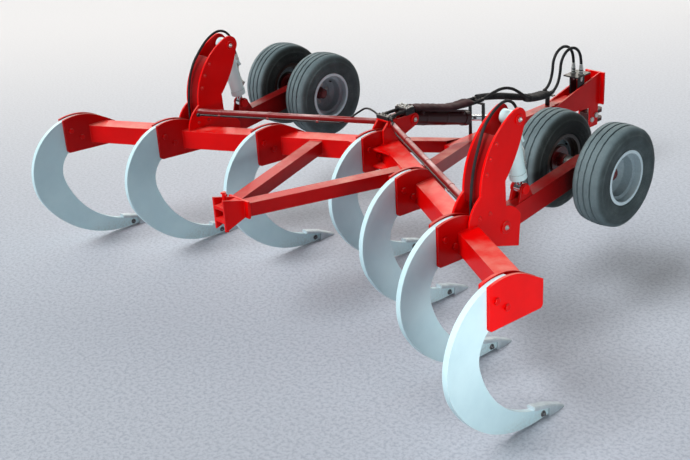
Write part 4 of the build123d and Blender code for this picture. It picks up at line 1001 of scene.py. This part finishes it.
def addRearHitchWelds(welds, facing, look):
    low, high = corners("rear_hitch_legs")
    headY = corners("rear_hitch_head")[1].y
    nearX = (high.y - beamFace(0)[0]) / beamSlope
    spread = facing * look["rearLegSpread"]
    for z in (low.z, high.z):
        addBead(welds, [(facing * look["inset"], headY, z), (spread, headY, z)])
    addBead(welds, [(spread, headY, low.z), (spread, headY, high.z)])
    foot = ((high.x, low.z), (high.x, high.z), (nearX, high.z), (nearX, low.z))
    addBead(welds, [(facing * x, beamFace(x)[0], z) for x, z in foot], closed=True)


def addEarWelds(welds, facing, look):
    low, high = corners("tongue_brackets")
    plate, gap = look["earPlate"], look["earGap"]
    for step in (0.0, plate, gap + plate, gap + 2 * plate):
        x = facing * (high.x - step)
        addBead(welds, [(x, beamFace(x)[1], low.z), (x, beamFace(x)[1], high.z)])


def addStayRing(welds, x, look):
    centre, radius = stayAt(x)
    turns = [math.tau * k / look["ringPoints"] for k in range(look["ringPoints"])]
    ring = [centre + Vector((0, radius * beamLean * math.cos(a), radius * math.sin(a))) for a in turns]
    addBead(welds, ring, look, closed=True)


def makeFrameWelds(look):
    welds = Shape()
    addHolderWelds(welds)
    addTowerWelds(welds, look)
    for facing in (-1, 1):
        addRearHitchWelds(welds, facing, look)
        addEarWelds(welds, facing, look)
        for node in ("mast", "tower_stays"):
            addStayRing(welds, facing * corners(node)[1].x, stayWeldSet)
    rear, front = beamFace(0)
    addBead(welds, [(0, rear, beamHigh.z), (0, front, beamHigh.z), (0, front, beamLow.z)])
    welds.piece("frameWelds", "redPaint", "red_paint", "frame")


def makeTongueWelds(look):
    welds = Shape()
    low, high = corners("tongue_pole")
    headY = corners("hitch_head")[0].y
    top = low.z + look["poleHigh"]
    for x in (low.x, high.x):
        for z in (low.z, top):
            addBead(welds, [(x, headY, z), (x, high.y, z)])
    end = [(low.x, high.y, low.z), (high.x, high.y, low.z), (high.x, high.y, top), (low.x, high.y, top)]
    addBead(welds, end, closed=True)
    welds.piece("tongueWelds", "redPaint", "red_paint", "tongue")


# steel lines from the hose block along the stays to the towers: the first steps are from the block
lineSet = {"radius": 0.008, "sides": 12, "behind": 0.021, "under": 0.022, "toStay": 0.09, "onStay": 0.08,
           "offTower": 0.06,
           "left": [(0.0, 0.0, 0.0), (-0.05, -0.002, 0.028), (-0.115, -0.02, 0.046), (-0.165, -0.045, 0.012)],
           "right": [(0.0, 0.0, 0.0), (0.022, -0.004, 0.0), (0.03, -0.006, -0.03)],
           "blockNut": (1.9, 0.016), "towerNut": (2.1, 0.02), "clipEvery": 0.45, "clipFirst": 0.3,
           "clipLong": 0.022, "clipOver": 0.003, "clipUnder": 0.002, "clipSides": 28}


def addLineClips(clips, start, end, look):
    along = (end - start).normalized()
    count = int((end - start).length / look["clipEvery"])
    for k in range(count + 1):
        at = start.lerp(end, (k + look["clipFirst"]) / (count + 2 * look["clipFirst"]))
        for centre, inner in (stayAt(at.x), (at, look["radius"])):
            band = bandProfile(inner, look["clipOver"], look["clipLong"], look["clipUnder"])
            clips.turned(centre - along * look["clipLong"] / 2, along, band, look["clipSides"])


def makeFeedLines(look):
    mastHigh = corners("mast")[1]
    start = hosePaths["left"][0].y + hoseBlockSet["long"] / 2
    offset = Vector((0, -look["behind"], -look["under"]))
    for side, facing in sides.items():
        tower = corners("lift_tower_" + side)[0 if facing > 0 else 1].x
        root = Vector((facing * mastHigh.x, start, mastHigh.z + hoseBlockSet["high"] / 2))
        points = [root + Vector(step) for step in look[side]]
        joined = points[-1].x + facing * look["toStay"]
        places = (joined, joined + facing * look["onStay"], tower - facing * look["offTower"], tower)
        run = [stayAt(x)[0] + offset for x in places]
        line = Shape()
        line.tube(hosePath([tuple(point) for point in points + run]), look["radius"], look["sides"])
        nuts = ((root, facing, look["blockNut"]), (run[-1], -facing, look["towerNut"]))
        for at, ahead, (wide, high) in nuts:
            line.hexNut(at, (ahead, 0, 0), look["radius"] * wide, high)
        line.piece("feedLine_" + side, "rackPaint", "rack_paint", "frame")
        clips = Shape()
        addLineClips(clips, run[1], run[2], look)
        clips.piece("lineClips_" + side, "stayPaint", "red_paint", "frame")


makeFrameWelds(frameSet)
makeTongueWelds(frameSet)
makeFeedLines(lineSet)
print("welds and lines run")

# point bolts through the toes: along Y from the holder's rear edge, and up from the ground
toeBoltSet = {"along": 0.531, "up": 0.042, "radius": 0.015}


def makePointBolts(look):
    bolts = Shape()
    for number in "1234567":
        y = corners("shank_holder_" + number)[0].y + look["along"]
        low, high = corners("shank_" + number)
        for x, outward in ((low.x, -1.0), (high.x, 1.0)):
            bolts.bolt((x, y, look["up"]), (outward, 0, 0), look["radius"])
    bolts.piece("pointBolts", "darkSteel", "zinc_steel", "frame")


# tower bolts: three along the round back, whose centre is given from the tower's heel, and two over the beam
towerBoltSet = {"radius": 0.0115, "heelToBack": 0.115, "backRadius": 0.522, "backZ": 1.22459, "in": 0.034,
                "turns": (140.0, 152.0, 164.0), "footAlong": (0.10, 0.20), "footUp": 0.045}


def makeTowerBolts(look):
    reach = look["backRadius"] - look["in"]
    for side in sides:
        low, high = corners("lift_tower_" + side)
        backY = low.y + look["heelToBack"] + look["backRadius"]
        turns = [math.radians(turn) for turn in look["turns"]]
        places = [(backY + reach * math.cos(a), look["backZ"] + reach * math.sin(a)) for a in turns]
        places += [(low.y + along, beamHigh.z + look["footUp"]) for along in look["footAlong"]]
        bolts = Shape()
        for x, outward in ((low.x, -1.0), (high.x, 1.0)):
            for y, z in places:
                bolts.bolt((x, y, z), (outward, 0, 0), look["radius"])
        bolts.piece("towerBolts_" + side, "redPaint", "red_paint", "frame")


# keepers on the ends of the pins, over the pins' heads
keeperSet = {"radius": 0.012, "headOut": 0.012}


def makePinKeepers(look):
    turning = ("_barrel_swing", "_wheel_lift")
    pins = [("lift_tower_" + side, side + joint) for side in sides for joint in turning]
    pins.append(("mast", "level_barrel_swing"))
    keepers = Shape()
    for node, joint in pins:
        low, high = corners(node)
        y, z = joints[joint]["pos_m"][1:]
        for x, outward in ((low.x, -1.0), (high.x, 1.0)):
            keepers.bolt((x + outward * look["headOut"], y, z), (outward, 0, 0), look["radius"])
    keepers.piece("pinKeepers", "zincSteel", "zinc_steel", "frame")


makePointBolts(toeBoltSet)
makeTowerBolts(towerBoltSet)
makePinKeepers(keeperSet)
print("bolts set")

# floor, paler towards the far side; that direction is level
farSide = (-0.745, 0.667, 0.0)
floorSet = {"half": 60.0, "pale": tone(170, 177, 187), "speck": tone(150, 157, 168),
            "far": tone(224, 222, 221), "grain": (38.0, 6.0, 0.75), "speckBand": (0.42, 0.62),
            "fade": (-1.0, 9.0), "fadeShare": 0.8, "rough": 0.85, "grainRough": 0.1}


def makeFloor(look):
    half = look["half"]
    mesh = bpy.data.meshes.new("floor")
    rim = [(-half, -half, 0), (half, -half, 0), (half, half, 0), (-half, half, 0)]
    mesh.from_pydata(rim, [], [(0, 1, 2, 3)])
    floor = addObject("floor", mesh)
    ground = Finish("paleFloor", {})
    grain = ground.noise(*look["grain"])
    colour = ground.mix(grain.above(*look["speckBand"]), look["pale"], look["speck"])
    fade = ground.dot(ground.place, farSide).above(*look["fade"]) * look["fadeShare"]
    colour = ground.mix(fade, colour, look["far"])
    mesh.materials.append(ground.feed(colour=colour, rough=look["rough"] + grain * look["grainRough"]))


# a broad soft sun behind the machine, and a small lamp for the near side
sunSet = {"from": (-0.12, -0.62, 0.78), "strength": 3.5, "spread": 30.0}
nearLampSet = {"at": (4.6, -2.9, 1.25), "aim": (2.0, -1.6, 0.95), "size": (1.2, 1.0), "watts": 11.0,
               "cone": 70.0}


def makeSun(look):
    data = bpy.data.lights.new("sun", "SUN")
    data.energy = look["strength"]
    data.angle = math.radians(look["spread"])
    lamp = addObject("sun", data)
    lamp.rotation_euler = Vector(look["from"]).to_track_quat("Z", "Y").to_euler()


def makeNearLamp(look):
    data = bpy.data.lights.new("nearSide", "AREA")
    data.shape = "RECTANGLE"
    data.size, data.size_y = look["size"]
    data.energy = look["watts"]
    data.spread = math.radians(look["cone"])
    lamp = addObject("nearSide", data)
    lamp.location = look["at"]
    lamp.rotation_euler = (Vector(look["aim"]) - lamp.location).to_track_quat("-Z", "Y").to_euler()


# sky: an even dome, a pale ring at the horizon and a broad warm panel ahead on the left
skySet = {"tone": (0.88, 0.95, 1.0), "panelTone": (1.0, 0.94, 0.85), "dome": 0.08, "ring": 0.62,
          "ringTop": 0.16, "panel": 4.6, "panelSide": (0.35, 0.75), "panelLow": (0.20, 0.29),
          "panelHigh": (0.50, 0.66)}


def makeSky(look):
    sky = bpy.data.worlds.new("studio")
    sky.use_nodes = True
    air = Nodes(sky.node_tree)
    ray = air.node("TexCoord", {}, {}, "Generated")
    rise = air.axis(ray, "Z")
    panel = air.dot(ray, farSide).above(*look["panelSide"]) * rise.above(*look["panelLow"])
    panel = panel * (1 - rise.above(*look["panelHigh"]))
    ring = 1 - rise.above(0.0, look["ringTop"])
    background = air.tree.nodes["Background"]
    plug(air.tree, background.inputs["Color"], air.mix(panel, look["tone"], look["panelTone"]))
    plug(air.tree, background.inputs["Strength"], look["dome"] + ring * look["ring"] + panel * look["panel"])
    bpy.context.scene.world = sky


makeFloor(floorSet)
makeSun(sunSet)
makeNearLamp(nearLampSet)
makeSky(skySet)
bpy.context.scene.view_settings.view_transform = "Standard"
print("floor and lamps set")
